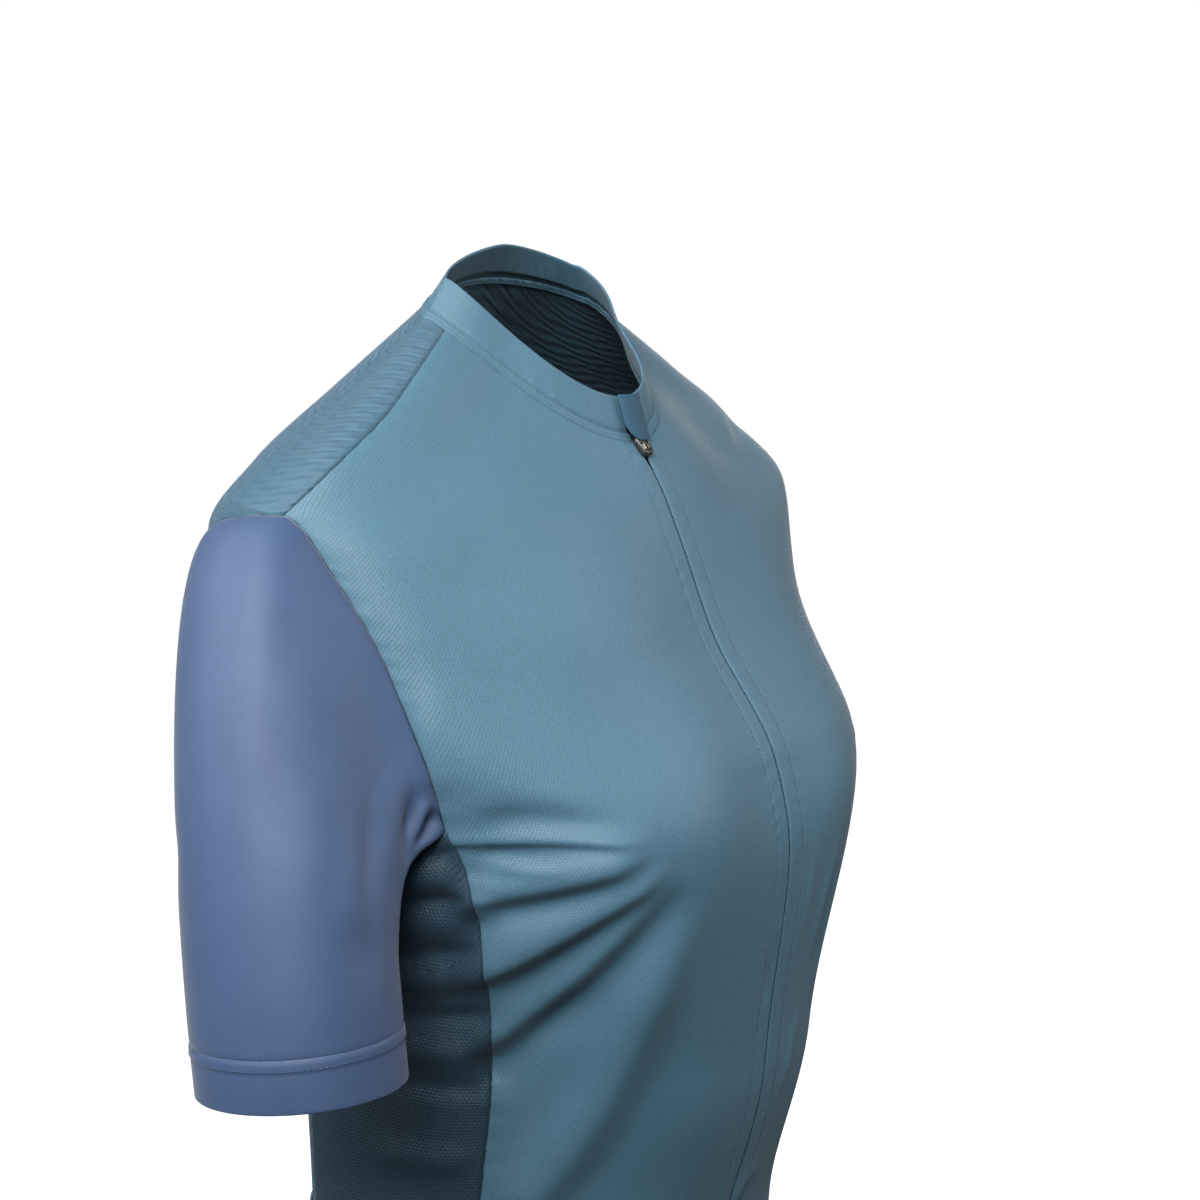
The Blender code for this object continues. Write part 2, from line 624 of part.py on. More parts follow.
def zip_rows(front, band, columns, band_columns):
    """A front's two columns at the zip, carried on up the collar's edge."""
    edge, beside = (front[:, column] for column in columns)
    band_edge, band_beside = (band[1:, column] for column in band_columns)
    return np.vstack([edge, band_edge]), np.vstack([beside, band_beside])


def lay_on_front(piece, place, run, up, out):
    """Lay a block on the front's middle, moved up the zip and outwards."""
    normal = np.cross(np.array([1.0, 0.0, 0.0]), run)
    piece.location = Vector(place + run * up + normal * out)
    piece.rotation_euler = (np.arctan2(run[2], run[1]), 0.0, 0.0)


for leftover in list(bpy.data.objects):
    bpy.data.objects.remove(leftover, do_unlink=True)

JERSEY = fresh_collection("cycling_jersey")
CUTTERS = fresh_collection("joining_shapes")

front_look = material("front_mesh_knit", TEAL, 0.62)
side_look = material("side_mesh", TEAL_DARK, 0.68)
back_look = material("back_jacquard", TEAL_BACK, 0.66)
sleeve_look = material("sleeve_lycra", INDIGO, 0.50)
collar_look = material("collar_knit", TEAL, 0.60)
garage_look = material("garage_lycra", GARAGE_TEAL, 0.45)
tape_look = material("zip_tape_weave", ZIP_BLACK, 0.70)
coil_look = material("zip_coil_nylon", ZIP_BLACK, 0.40)
metal_look = material("slider_gunmetal", GUNMETAL, 0.35, 0.9)

# Body panels: two fronts, two sides and one back, which runs over the shoulders.
right_front = front_panel(-1)
left_front = front_panel(1)
cloth_piece("front_right", inset(right_front, top=True, first=True), front_look)
cloth_piece("front_left", inset(left_front, top=True, last=True), front_look)
cloth_piece("side_right", inset(side_panel(-1), top=True, first=True, last=True), side_look)
cloth_piece("side_left", inset(side_panel(1), top=True, first=True, last=True), side_look)
back_angle, back_level = back_angles()
back = cloth(back_angle, back_level)
cloth_piece("back", inset(back, top=True, first=True, last=True), back_look)

# The pocket panel lies on the lower back, made from its points, and is sewn in at the
# side seams and the hem; its top edge is the mouth of the three pockets.
pocket = back[:POCKET_TOP_ROW + 1]
pocket = pocket + grid_normals(back)[:POCKET_TOP_ROW + 1] * (LAYER_GAP + POCKET_WALL)
cloth_piece("pocket_panel", inset(pocket, first=True, last=True), back_look, POCKET_WALL)

# Sleeves run from the armhole to the cuff seam; each cuff is a band of its own.
for row in SLEEVES:
    sleeve = dict(zip(SLEEVE_COLUMNS, row))
    side_name = "left" if sleeve["side"] > 0 else "right"
    rings = sleeve_grid(sleeve)
    upper = inset(rings[:SLEEVE_ROWS + 1], bottom=True, top=True)
    lower = inset(rings[SLEEVE_ROWS:], bottom=True)
    cloth_piece("sleeve_" + side_name, upper[::-1], sleeve_look, tube=True)
    cloth_piece("cuff_" + side_name, lower[::-1], sleeve_look, tube=True)


# Collar: a band that stands on the neck seam, leaning in, from one front edge round the
# back to the other.
collar = collar_grid(back_angle)
cloth_piece("collar", collar, collar_look)


# Zip: a tape inside each front's edge, the coil between them, a slider, its pull and the
# garage that covers them at the collar.
hidden = WALL + LAYER_GAP
left_edge, left_beside = zip_rows(left_front, collar, (0, 1), (0, 1))
right_edge, right_beside = zip_rows(right_front, collar, (-1, -2), (-1, -2))
left_tape = inner_strip(left_edge, left_beside, TAPE_INNER, TAPE_OUTER, hidden)
right_tape = inner_strip(right_beside, right_edge, -TAPE_OUTER, -TAPE_INNER, hidden)
cloth_piece("zip_tape_left", left_tape, tape_look, TAPE_WALL)
cloth_piece("zip_tape_right", right_tape, tape_look, TAPE_WALL)
coil = inner_strip(right_edge, left_edge, -COIL_HALF_WIDTH, COIL_HALF_WIDTH, hidden)
cloth_piece("zip_coil", coil, coil_look, COIL_THICKNESS)


zip_head = body_form(0.0, 1.0)
front_run = unit(body_form(0.0, ZIP_HEAD_LEVELS[1]) - body_form(0.0, ZIP_HEAD_LEVELS[0]))
collar_run = np.array([0.0, COLLAR_LEAN, np.sqrt(1 - COLLAR_LEAN ** 2)])
collar_out = np.array([0.0, -collar_run[2], collar_run[1]])

slider = block("zip_slider", SLIDER_WIDTH, SLIDER_LENGTH, SLIDER_THICKNESS, SLIDER_BEVEL,
               metal_look, JERSEY)
slider_out = LAYER_GAP + SLIDER_THICKNESS / 2
lay_on_front(slider, zip_head, front_run, -SLIDER_LENGTH / 2, slider_out)
crown = block("slider_crown", CROWN_WIDTH, CROWN_LENGTH, CROWN_HEIGHT * 2, SLIDER_BEVEL,
              metal_look, CUTTERS)
lay_on_front(crown, zip_head, front_run, CROWN_PLACE, LAYER_GAP + SLIDER_THICKNESS)
crown.hide_render = True
crown.display_type = "WIRE"
join = slider.modifiers.new("crown", "BOOLEAN")
join.operation = "UNION"
join.object = crown

pull = block("zip_pull", PULL_WIDTH, PULL_LENGTH, PULL_THICKNESS, PULL_THICKNESS / 3,
             metal_look, JERSEY)
lay_on_front(pull, zip_head, collar_run, PULL_FOOT + PULL_LENGTH / 2, PULL_OUT)

# Garage: a soft tab, sewn over the collar's left edge, that arches over the slider's top
# and lies over the right edge, with its free lower corner rounded.
x = np.linspace(GARAGE_RIGHT, GARAGE_LEFT, GARAGE_COLUMNS + 1)
corner = np.clip(GARAGE_RIGHT + GARAGE_CORNER - x, 0, None)
foot = GARAGE_CORNER - np.sqrt(GARAGE_CORNER ** 2 - corner ** 2) - GARAGE_DROP
up = foot + (COLLAR_HEIGHT - foot) * np.linspace(0, 1, GARAGE_ROWS + 1)[:, None]
share = (x - GARAGE_RIGHT) / (GARAGE_LEFT - GARAGE_RIGHT)
arch = np.clip(np.sin(np.pi * share), 0, 1) ** GARAGE_SQUARE
rest = GARAGE_AT_RIGHT + (GARAGE_AT_LEFT - GARAGE_AT_RIGHT) * share
height_share = (up + GARAGE_DROP) / (COLLAR_HEIGHT + GARAGE_DROP)
stand = rest + arch * (GARAGE_ARCH_LOW + (GARAGE_ARCH_TOP - GARAGE_ARCH_LOW) * height_share)
neck_y = body_form(angle_at_x(x, 1.0), 1.0) - zip_head
garage = zip_head + neck_y + up[..., None] * collar_run + stand[..., None] * collar_out
cloth_piece("zip_garage", garage, garage_look, GARAGE_WALL)
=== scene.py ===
"""A short-sleeved cycling jersey in its worn, hollow form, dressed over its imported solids.

Metres, +Z up. The wearer faces -Y, so +X is the wearer's left, and the origin lies midway
between the two neck points.
"""

from functools import partialmethod

import bpy
import numpy as np
from mathutils import Matrix, Vector


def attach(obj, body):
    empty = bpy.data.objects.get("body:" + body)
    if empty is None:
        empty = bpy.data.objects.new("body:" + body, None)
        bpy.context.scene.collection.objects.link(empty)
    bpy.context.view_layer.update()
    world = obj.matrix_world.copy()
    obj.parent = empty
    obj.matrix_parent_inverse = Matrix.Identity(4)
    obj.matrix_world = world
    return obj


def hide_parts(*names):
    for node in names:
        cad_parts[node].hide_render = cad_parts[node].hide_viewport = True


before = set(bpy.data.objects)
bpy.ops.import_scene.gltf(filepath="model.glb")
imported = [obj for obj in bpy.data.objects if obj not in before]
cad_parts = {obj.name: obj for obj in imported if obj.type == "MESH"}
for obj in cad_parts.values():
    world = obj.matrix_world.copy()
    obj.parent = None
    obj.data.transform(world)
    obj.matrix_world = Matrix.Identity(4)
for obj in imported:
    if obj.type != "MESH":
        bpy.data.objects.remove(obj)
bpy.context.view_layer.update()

# ---------------------------------------------------------------- the two fronts
# Two panels of fine pinhole mesh, knitted from polyester with a little elastane. Each is
# turned under beside the zip and topstitched 11 mm in. The chest drags the cloth into
# folds that fan out to the side seams.

MM = 0.001

# The worn body, as sections from the hem, at level 0, to the collar seam, at level 1.
SECTION_COLUMNS = (
    "level", "half_width", "front_y", "side_y", "back_y", "front_z", "side_z", "back_z",
    "front_square", "back_square", "front_dip", "back_dip",
)
SECTIONS = (
    (0.00, 0.165, -0.114, -0.004, 0.098, -0.586, -0.585, -0.598, 2.25, 2.25, 2.00, 2.00),
    (0.12, 0.149, -0.103, -0.003, 0.088, -0.511, -0.509, -0.514, 2.25, 2.25, 2.00, 2.00),
    (0.28, 0.126, -0.111, -0.001, 0.075, -0.424, -0.414, -0.415, 2.20, 2.25, 2.00, 2.00),
    (0.42, 0.126, -0.132, -0.001, 0.080, -0.334, -0.323, -0.325, 2.20, 2.25, 2.00, 2.00),
    (0.54, 0.143, -0.131, -0.002, 0.093, -0.243, -0.250, -0.250, 2.25, 2.30, 2.00, 2.00),
    (0.64, 0.163, -0.123, -0.004, 0.099, -0.191, -0.197, -0.182, 2.30, 2.35, 2.00, 2.00),
    (0.74, 0.168, -0.098, -0.002, 0.097, -0.138, -0.136, -0.121, 2.30, 2.35, 2.00, 2.00),
    (0.82, 0.184, -0.089, -0.003, 0.089, -0.103, -0.079, -0.080, 2.30, 2.30, 2.07, 2.02),
    (0.88, 0.161, -0.085, -0.002, 0.076, -0.089, -0.054, -0.051, 2.15, 2.15, 2.12, 2.03),
    (0.94, 0.112, -0.079, -0.001, 0.052, -0.072, -0.025, -0.018, 2.05, 2.05, 1.79, 1.95),
    (1.00, 0.064, -0.067, 0.000, 0.016, -0.051, 0.007, 0.020, 2.00, 1.78, 1.28, 1.36),
)

# Fullness cut into the fronts over the chest, one on each side.
FULLNESS_X = 0.085
FULLNESS_Z = -0.2135
FULLNESS_ACROSS = 0.062
FULLNESS_ABOVE = 0.077
FULLNESS_BELOW = 0.066
FULLNESS_DEPTH = 0.025

# Soft swells and hollows of the chest and shoulders, in millimetres out along a line set
# round from the front and a little up: a row for each level, a column for each angle. The
# cloth doesn't hang evenly, so the two sides differ.
SWELL_ANGLES = (2.0, 16.0, 30.0, 44.0, 58.0, 72.0, 86.0)
SWELL_LEVELS = (0.33, 0.40, 0.47, 0.54, 0.61, 0.68, 0.75, 0.82, 0.89, 0.96)
SWELLS_RIGHT = (
    (-0.7, 0.3, -4.4, -5.3, -7.0, 1.5, 0.0),
    (-0.3, 1.8, -0.4, -3.8, -4.5, 4.5, -1.0),
    (1.0, 2.7, 4.3, -0.3, 1.7, 5.0, -1.0),
    (-0.6, 0.9, 7.0, 3.6, 5.2, 5.1, 0.5),
    (-2.5, 4.6, 7.1, 7.6, -0.1, 3.7, 1.9),
    (0.9, 0.5, -2.5, 3.2, 7.8, 2.6, 2.1),
    (4.5, 2.5, 3.7, 1.9, 6.3, 5.5, 3.0),
    (-0.9, -1.6, -5.8, -8.8, -7.3, -8.4, -8.0),
    (-3.4, -0.6, -3.4, -4.4, -5.8, -1.9, 5.0),
    (-1.2, -2.3, -4.5, -4.9, -5.0, 3.0, 6.0),
)
SWELLS_LEFT = (
    (0.0, 0.0, 0.0, 0.0, 0.0, 0.0, 0.0),
    (0.0, 0.0, 0.0, 0.0, 0.0, 0.0, 0.0),
    (0.0, 0.0, 0.0, 0.0, 0.0, 0.0, 0.0),
    (0.0, 0.1, -0.7, 0.6, 1.2, 1.0, 0.3),
    (0.0, 3.8, -1.5, 3.7, 3.8, 2.9, 0.8),
    (0.0, -2.1, -0.3, -0.9, 3.4, 7.8, 1.8),
    (0.0, 0.9, 0.3, -0.6, 2.3, 10.1, 1.9),
    (0.0, -2.0, -4.0, -2.0, 0.0, -3.0, -0.7),
    (0.0, -1.0, -4.5, -7.5, -3.0, -1.5, 1.0),
    (0.0, 1.0, 0.0, -3.5, -6.5, 1.0, 0.0),
)
SWELL_ANGLE_SPREAD = 11.5
SWELL_LEVEL_SPREAD = 0.055
SWELL_FROM = 20.0
SWELL_ASIDE = 0.824
SWELL_FORWARD = 0.544
SWELL_UP = 0.160

# The seams round a front and the armhole, by the share along each, the angle round the
# body and the level up it.
FRONT_SIDE_SEAM = (
    (0.00, 62.0, 0.000), (0.30, 62.5, 0.200), (0.55, 63.3, 0.350), (0.68, 63.0, 0.430),
    (0.82, 62.6, 0.520), (0.93, 62.2, 0.593), (1.00, 63.3, 0.627),
)
ARMHOLE = (
    (0.000, 87.0, 0.8438), (0.045, 80.0, 0.8340), (0.120, 72.0, 0.7980),
    (0.170, 68.0, 0.7690), (0.220, 65.5, 0.7360), (0.270, 64.0, 0.7000),
    (0.320, 63.3, 0.6700), (0.395, 63.3, 0.6270), (0.440, 72.0, 0.6080),
    (0.500, 90.0, 0.5950), (0.560, 108.0, 0.6060), (0.610, 119.0, 0.6270),
    (0.680, 122.5, 0.6820), (0.760, 123.0, 0.7400), (0.830, 121.5, 0.7900),
    (0.895, 116.0, 0.8220), (0.940, 107.0, 0.8360), (1.000, 87.0, 0.8438),
)
ARMHOLE_FRONT = (0.0, 0.395)
YOKE_SEAM = (
    (0.00, 87.0, 0.8438), (0.20, 83.0, 0.8700), (0.45, 79.5, 0.9000),
    (0.65, 78.5, 0.9310), (0.82, 79.5, 0.9660), (1.00, 81.0, 1.0000),
)

# Folds: where each starts and ends, how far its line bows up, its height and its width on
# each side in millimetres, and the shares of its length in which it rises and dies away.
FOLD_COLUMNS = (
    "angle_a", "level_a", "angle_b", "level_b", "bow",
    "height_mm", "left_mm", "right_mm", "rise", "fall",
)
MAIN_FOLDS = (
    (-35, 0.607, -60, 0.628, 0.014, -2.4, 8.0, 6.0, 0.4, 0.3),
    (-33, 0.599, -65, 0.615, 0.006, 1.5, 1.8, 5.0, 0.22, 0.08),
    (-36, 0.595, -61, 0.607, 0.004, -1.2, 7.0, 2.5, 0.22, 0.2),
    (-32, 0.598, -68, 0.560, -0.003, 5.6, 7.2, 11.0, 0.28, 0.14),
    (-32, 0.589, -62, 0.555, -0.007, -2.8, 7.0, 6.4, 0.22, 0.15),
    (-31, 0.584, -68, 0.497, -0.005, 6.8, 6.8, 14.0, 0.2, 0.14),
    (-31, 0.576, -63, 0.482, -0.003, -1.6, 7.0, 7.0, 0.22, 0.15),
    (-30, 0.573, -68, 0.440, -0.01, 4.6, 7.8, 8.0, 0.2, 0.16),
    (-29, 0.568, -58, 0.451, -0.01, -4.4, 11.5, 8.0, 0.22, 0.35),
    (-28, 0.555, -60, 0.300, -0.022, 8.2, 12.4, 18.5, 0.25, 0.24),
    (-44, 0.500, -66, 0.420, 0, -4.6, 11.0, 10.5, 0.55, 0.15),
    (40, 0.606, 61, 0.624, 0.003, 3.4, 9.0, 6.2, 0.4, 0.1),
    (40, 0.600, 63, 0.606, 0.001, -2.6, 4.6, 4.8, 0.4, 0.1),
    (39, 0.582, 62, 0.568, 0.002, 3.4, 7.8, 6.8, 0.4, 0.15),
    (39, 0.571, 63, 0.543, 0.002, -3.0, 6.8, 7.0, 0.4, 0.15),
    (37, 0.558, 62, 0.512, 0.003, 3.6, 9.0, 8.8, 0.4, 0.2),
    (36, 0.546, 63, 0.476, -0.004, -3.8, 9.5, 10.0, 0.4, 0.15),
    (35, 0.524, 61, 0.434, 0.004, 4.4, 13.0, 12.0, 0.4, 0.15),
    (35, 0.486, 62, 0.400, -0.004, -3.4, 11.0, 11.5, 0.4, 0.2),
    (34, 0.466, 61, 0.362, 0.002, 3.6, 12.5, 12.0, 0.4, 0.2),
    (-63, 0.586, -88, 0.574, 0, 3.2, 7.0, 7.0, 0.15, 0.5),
    (-63, 0.546, -90, 0.532, 0, 2.8, 7.0, 7.0, 0.15, 0.5),
    (-63, 0.504, -92, 0.484, 0, 3.6, 8.0, 6.4, 0.15, 0.5),
    (-63, 0.444, -90, 0.436, 0, 3.4, 8.5, 8.0, 0.2, 0.5),
    (63, 0.572, 90, 0.556, 0, 3.2, 7.5, 7.0, 0.15, 0.5),
    (63, 0.508, 91, 0.494, 0, 3.0, 8.0, 7.5, 0.15, 0.5),
    (63, 0.448, 92, 0.440, 0, 3.2, 8.5, 8.0, 0.2, 0.5),
    (150, 0.330, 208, 0.318, -0.012, 4.0, 12.0, 12.0, 0.35, 0.35),
    (138, 0.382, 196, 0.396, -0.01, 3.6, 12.0, 12.0, 0.35, 0.4),
    (160, 0.440, 222, 0.446, -0.012, 3.4, 12.0, 12.0, 0.4, 0.35),
    (122, 0.600, 146, 0.470, 0.01, 3.6, 11.0, 11.0, 0.2, 0.5),
    (238, 0.604, 216, 0.486, 0.012, 3.8, 11.0, 11.0, 0.2, 0.5),
)
FINE_FOLDS = (
    # small creases between the drag lines on the wearer's right
    (-44, 0.593, -60, 0.600, -0.006, 0.9, 3.0, 2.4, 0.5, 0.3),
    (-48, 0.600, -60, 0.606, 0.001, -0.6, 2.0, 2.0, 0.5, 0.2),
    (-60, 0.740, -63, 0.650, 0, 1.4, 8.0, 6.0, 0.5, 0.2),
    # drag lines beside the zip on the wearer's left
    (9, 0.562, 8, 0.470, 0, 1.1, 2.6, 3.0, 0.4, 0.4),
    (19, 0.566, 13, 0.452, 0, 1.3, 3.0, 3.4, 0.4, 0.4),
    (14, 0.455, 8, 0.380, 0, 1.2, 3.0, 3.4, 0.4, 0.4),
    (4, 0.545, 7, 0.478, 0, 0.9, 2.2, 2.4, 0.4, 0.4),
    (24, 0.552, 19, 0.420, 0, 1.2, 3.6, 4.0, 0.4, 0.4),
    (-3, 0.503, -3, 0.450, -0.002, -1.0, 3.0, 3.4, 0.4, 0.4),
    (9, 0.342, 1, 0.306, 0.002, 1.3, 4.6, 5.6, 0.4, 0.15),
    (8, 0.330, 1, 0.290, 0.002, -1.1, 4.0, 4.0, 0.4, 0.3),
    # small creases below the collar seam
    (-26, 0.990, -6, 0.984, 0, 0.7, 1.4, 2.0, 0.4, 0.2),
    (-22, 0.984, -5, 0.976, 0, -0.7, 1.6, 1.8, 0.4, 0.2),
    (22, 0.990, 6, 0.983, 0, 0.6, 1.6, 2.0, 0.4, 0.2),
    # small creases between the drag lines on the wearer's left
    (46, 0.592, 61, 0.588, 0.001, 1.3, 2.8, 2.8, 0.5, 0.1),
    (48, 0.548, 62, 0.528, 0.001, -1.3, 2.8, 3.2, 0.4, 0.15),
    (46, 0.500, 61, 0.452, 0, 1.4, 4.4, 4.8, 0.4, 0.25),
    (44, 0.452, 60, 0.384, 0, -1.2, 4.6, 5.2, 0.4, 0.3),
    (40, 0.420, 57, 0.322, -0.004, 2.0, 9.0, 10.0, 0.4, 0.3),
    (56, 0.864, 62, 0.903, 0, -2.4, 22.0, 22.0, 0.5, 0.5),
    # creases that die away across the side panels
    (-63, 0.606, -80, 0.596, 0, -1.4, 3.4, 3.6, 0.1, 0.6),
    (-63, 0.566, -82, 0.556, 0, -1.8, 4.0, 3.6, 0.1, 0.6),
    (-63, 0.522, -86, 0.508, 0, -2.0, 4.0, 4.4, 0.1, 0.6),
    (-63, 0.472, -84, 0.462, 0, -1.8, 4.6, 4.0, 0.1, 0.6),
    (-63, 0.418, -88, 0.410, 0, -1.6, 5.0, 5.0, 0.1, 0.6),
    (-64, 0.366, -92, 0.356, 0, 2.0, 8.0, 8.0, 0.2, 0.5),
    (63, 0.598, 82, 0.588, 0, -1.4, 3.6, 3.6, 0.1, 0.6),
    (63, 0.540, 86, 0.526, 0, -1.8, 4.0, 4.2, 0.1, 0.6),
    (63, 0.480, 84, 0.470, 0, -1.6, 4.4, 4.4, 0.1, 0.6),
    (64, 0.380, 90, 0.370, 0, 2.0, 8.0, 8.0, 0.2, 0.5),
    (118, 0.560, 98, 0.545, 0, 2.2, 7.0, 7.0, 0.1, 0.6),
    (242, 0.548, 262, 0.536, 0, 2.2, 7.0, 7.0, 0.1, 0.6),
    (118, 0.470, 100, 0.462, 0, -1.8, 6.0, 6.0, 0.1, 0.6),
    (242, 0.480, 260, 0.470, 0, -1.8, 6.0, 6.0, 0.1, 0.6),
    # soft creases of the back, below the shoulder blades and above the pockets
    (144, 0.352, 214, 0.348, -0.01, -2.6, 8.0, 8.0, 0.35, 0.35),
    (134, 0.410, 186, 0.420, -0.008, -2.0, 8.0, 9.0, 0.4, 0.4),
    (172, 0.462, 228, 0.474, -0.008, -2.0, 9.0, 8.0, 0.4, 0.35),
    (124, 0.560, 152, 0.440, 0.008, -1.8, 8.0, 8.0, 0.3, 0.5),
    (236, 0.566, 210, 0.452, 0.008, -1.8, 8.0, 8.0, 0.3, 0.5),
    (126, 0.660, 150, 0.560, 0.006, 2.2, 11.0, 11.0, 0.2, 0.6),
    (234, 0.664, 212, 0.570, 0.006, 2.2, 11.0, 11.0, 0.2, 0.6),
    (122, 0.760, 140, 0.720, 0.004, 1.6, 9.0, 9.0, 0.15, 0.6),
    (238, 0.764, 222, 0.720, 0.004, 1.6, 9.0, 9.0, 0.15, 0.6),
)
FOLD_STEPS = 14
FOLD_REACH = 3.2

# How finely the panels are divided, and the steps over which slopes are taken.
LOWER_ROWS = 66
WAIST_ROWS = 118
WAIST_FROM = 0.55
ARMHOLE_ROWS = 84
YOKE_ROWS = 46
CURVE_STEPS = 900
TURN_STEP = 0.05
CLIMB_STEP = 0.0005

# The turned and stitched edge beside the zip, and what sewing does to the cloth.
FRONT_EDGE = 0.0005
FRONT_EDGE_AT_NECK = 0.0022
EDGE_OPENS_AT = 0.955
PLACKET = 0.0110
PLACKET_STEPS = (
    0.0005, 0.0008, 0.0013, 0.0021, 0.0032, 0.0046, 0.0062, 0.0078, 0.0091, 0.0100,
    0.0106, 0.0110, 0.0114, 0.0120, 0.0129, 0.0142, 0.0158,
)
FRONT_COLUMNS = 66
EVEN_SHARE = 0.975
SEAM_SHARES = (0.984, 0.991, 0.996, 1.0)
CLOTH_WALL = 0.0008
STITCH_DIP = 0.00016
STITCH_DIP_WIDTH = 0.0008
BAND_RISE = 0.00015
EDGE_ROLL = 0.0006
EDGE_ROLL_WIDTH = 0.0014
PUCKER = 0.00012
PUCKER_STEP = 0.0082
PUCKER_SLANT = 0.4
PUCKER_REACH = 0.0052
SEAM_DIP = 0.0003
SEAM_DIP_WIDTH = 0.0013
SEAM_PUCKER = 0.0002
SEAM_PUCKER_REACH = 0.007
SEAM_PUCKER_STEP = 0.0105
RIPPLE_WANDER = 1.3
RIPPLE_WANDER_STEPS = 5.1
RIPPLE_FADE = 0.38
RIPPLE_FADE_STEPS = 11.7

FRONT_YARN = (0.076, 0.175, 0.247)
FRONT_HOLE = (0.052, 0.127, 0.185)
PINHOLE_PITCH = 0.0017
PINHOLE_RISE = 0.0012
PINHOLE_SIZE = 0.00034
HOLE_CLEAR = 0.6
HOLE_SOFT = 0.7
RIBS_PER_HOLE = 3
RIB_RELIEF = 0.15
SHEEN_ROUGHNESS = 0.38
CLOUDS_PER_METRE = 26.0
GRAINS_PER_METRE = 900.0


def end_slope(step, next_step, rate, next_rate):
    """Slope at the end of a shape-keeping curve, from its two nearest spans."""
    slope = ((2 * step + next_step) * rate - step * next_rate) / (step + next_step)
    if slope * rate <= 0:
        return 0.0
    if rate * next_rate <= 0 and abs(slope) > 3 * abs(rate):
        return 3 * rate
    return slope


def curve_through(knots, values, where):
    """A smooth curve through the values that never swings past them."""
    knots = np.asarray(knots, dtype=float)
    values = np.asarray(values, dtype=float)
    where = np.clip(where, knots[0], knots[-1])
    step = np.diff(knots)
    rate = np.diff(values) / step
    slope = np.zeros_like(values)
    for k in np.flatnonzero(rate[:-1] * rate[1:] > 0):
        before = 2 * step[k + 1] + step[k]
        after = step[k + 1] + 2 * step[k]
        slope[k + 1] = (before + after) / (before / rate[k] + after / rate[k + 1])
    slope[0] = end_slope(step[0], step[1], rate[0], rate[1])
    slope[-1] = end_slope(step[-1], step[-2], rate[-1], rate[-2])
    span = np.clip(np.searchsorted(knots, where, side="right") - 1, 0, len(step) - 1)
    width = step[span]
    t = (where - knots[span]) / width
    start = (2 * t ** 3 - 3 * t ** 2 + 1) * values[span]
    start = start + (t ** 3 - 2 * t ** 2 + t) * width * slope[span]
    end = (3 * t ** 2 - 2 * t ** 3) * values[span + 1]
    end = end + (t ** 3 - t ** 2) * width * slope[span + 1]
    return start + end


def smooth_step(t):
    """0 to 1 with flat ends."""
    t = np.clip(t, 0.0, 1.0)
    return t * t * (3 - 2 * t)


def bell(distance, width):
    """1 on a line, dying away over a width."""
    return np.exp(-(distance / width) ** 2)


def unit(vectors):
    """Vectors scaled to length 1."""
    return vectors / np.linalg.norm(vectors, axis=-1, keepdims=True)


def section(name, level):
    """One named size of the body's sections at any level."""
    sizes = dict(zip(SECTION_COLUMNS, zip(*SECTIONS)))
    return curve_through(sizes["level"], sizes[name], level)


def swell_at(angle, level):
    """How far the chest and shoulders swell out, which dies away beside the zip."""
    turned = (angle + 180) % 360 - 180
    from_zip = np.abs(turned)
    near_angle = bell(from_zip[..., None] - np.array(SWELL_ANGLES), SWELL_ANGLE_SPREAD)
    near_level = bell(level[..., None] - np.array(SWELL_LEVELS), SWELL_LEVEL_SPREAD)
    right, left = (
        np.einsum("...l,la,...a->...", near_level, np.array(table) * MM, near_angle)
        for table in (SWELLS_RIGHT, SWELLS_LEFT))
    return np.where(turned < 0, right, left) * smooth_step(from_zip / SWELL_FROM)


def body_form(angle, level):
    """Points of the smooth body at angles in degrees and levels from 0 to 1."""
    angle, level = np.broadcast_arrays(np.asarray(angle, float), np.asarray(level, float))
    turn = np.radians(angle)
    facing = np.cos(turn)
    aside = np.sin(turn)
    front = facing >= 0
    square, middle_y, middle_z, dip = (
        np.where(front, section("front_" + size, level), section("back_" + size, level))
        for size in ("square", "y", "z", "dip"))
    reach = (np.abs(facing) ** square + np.abs(aside) ** square) ** (-1 / square)
    depth = reach * np.abs(facing)
    x = section("half_width", level) * reach * aside
    side_y = section("side_y", level)
    side_z = section("side_z", level)
    y = side_y + (middle_y - side_y) * depth
    z = side_z + (middle_z - side_z) * depth ** dip
    for side in (-1, 1):
        across = (x - side * FULLNESS_X) / FULLNESS_ACROSS
        rise = z - FULLNESS_Z
        rise = np.where(rise > 0, rise / FULLNESS_ABOVE, rise / FULLNESS_BELOW)
        y = y - front * FULLNESS_DEPTH * depth * np.exp(-(across ** 2 + rise ** 2) / 2)
    swell = swell_at(angle, level)
    x = x + swell * SWELL_ASIDE * np.sign(aside)
    return np.stack([x, y - swell * SWELL_FORWARD, z + swell * SWELL_UP], axis=-1)


def outward(form, angle, level):
    """Unit normals of a form, facing out, from its slopes each way."""
    low = np.clip(np.asarray(level, float) - CLIMB_STEP, 0, 1)
    high = np.clip(np.asarray(level, float) + CLIMB_STEP, 0, 1)
    round_it = form(angle + TURN_STEP, level) - form(angle - TURN_STEP, level)
    up_it = form(angle, high) - form(angle, low)
    return unit(np.cross(round_it, up_it))


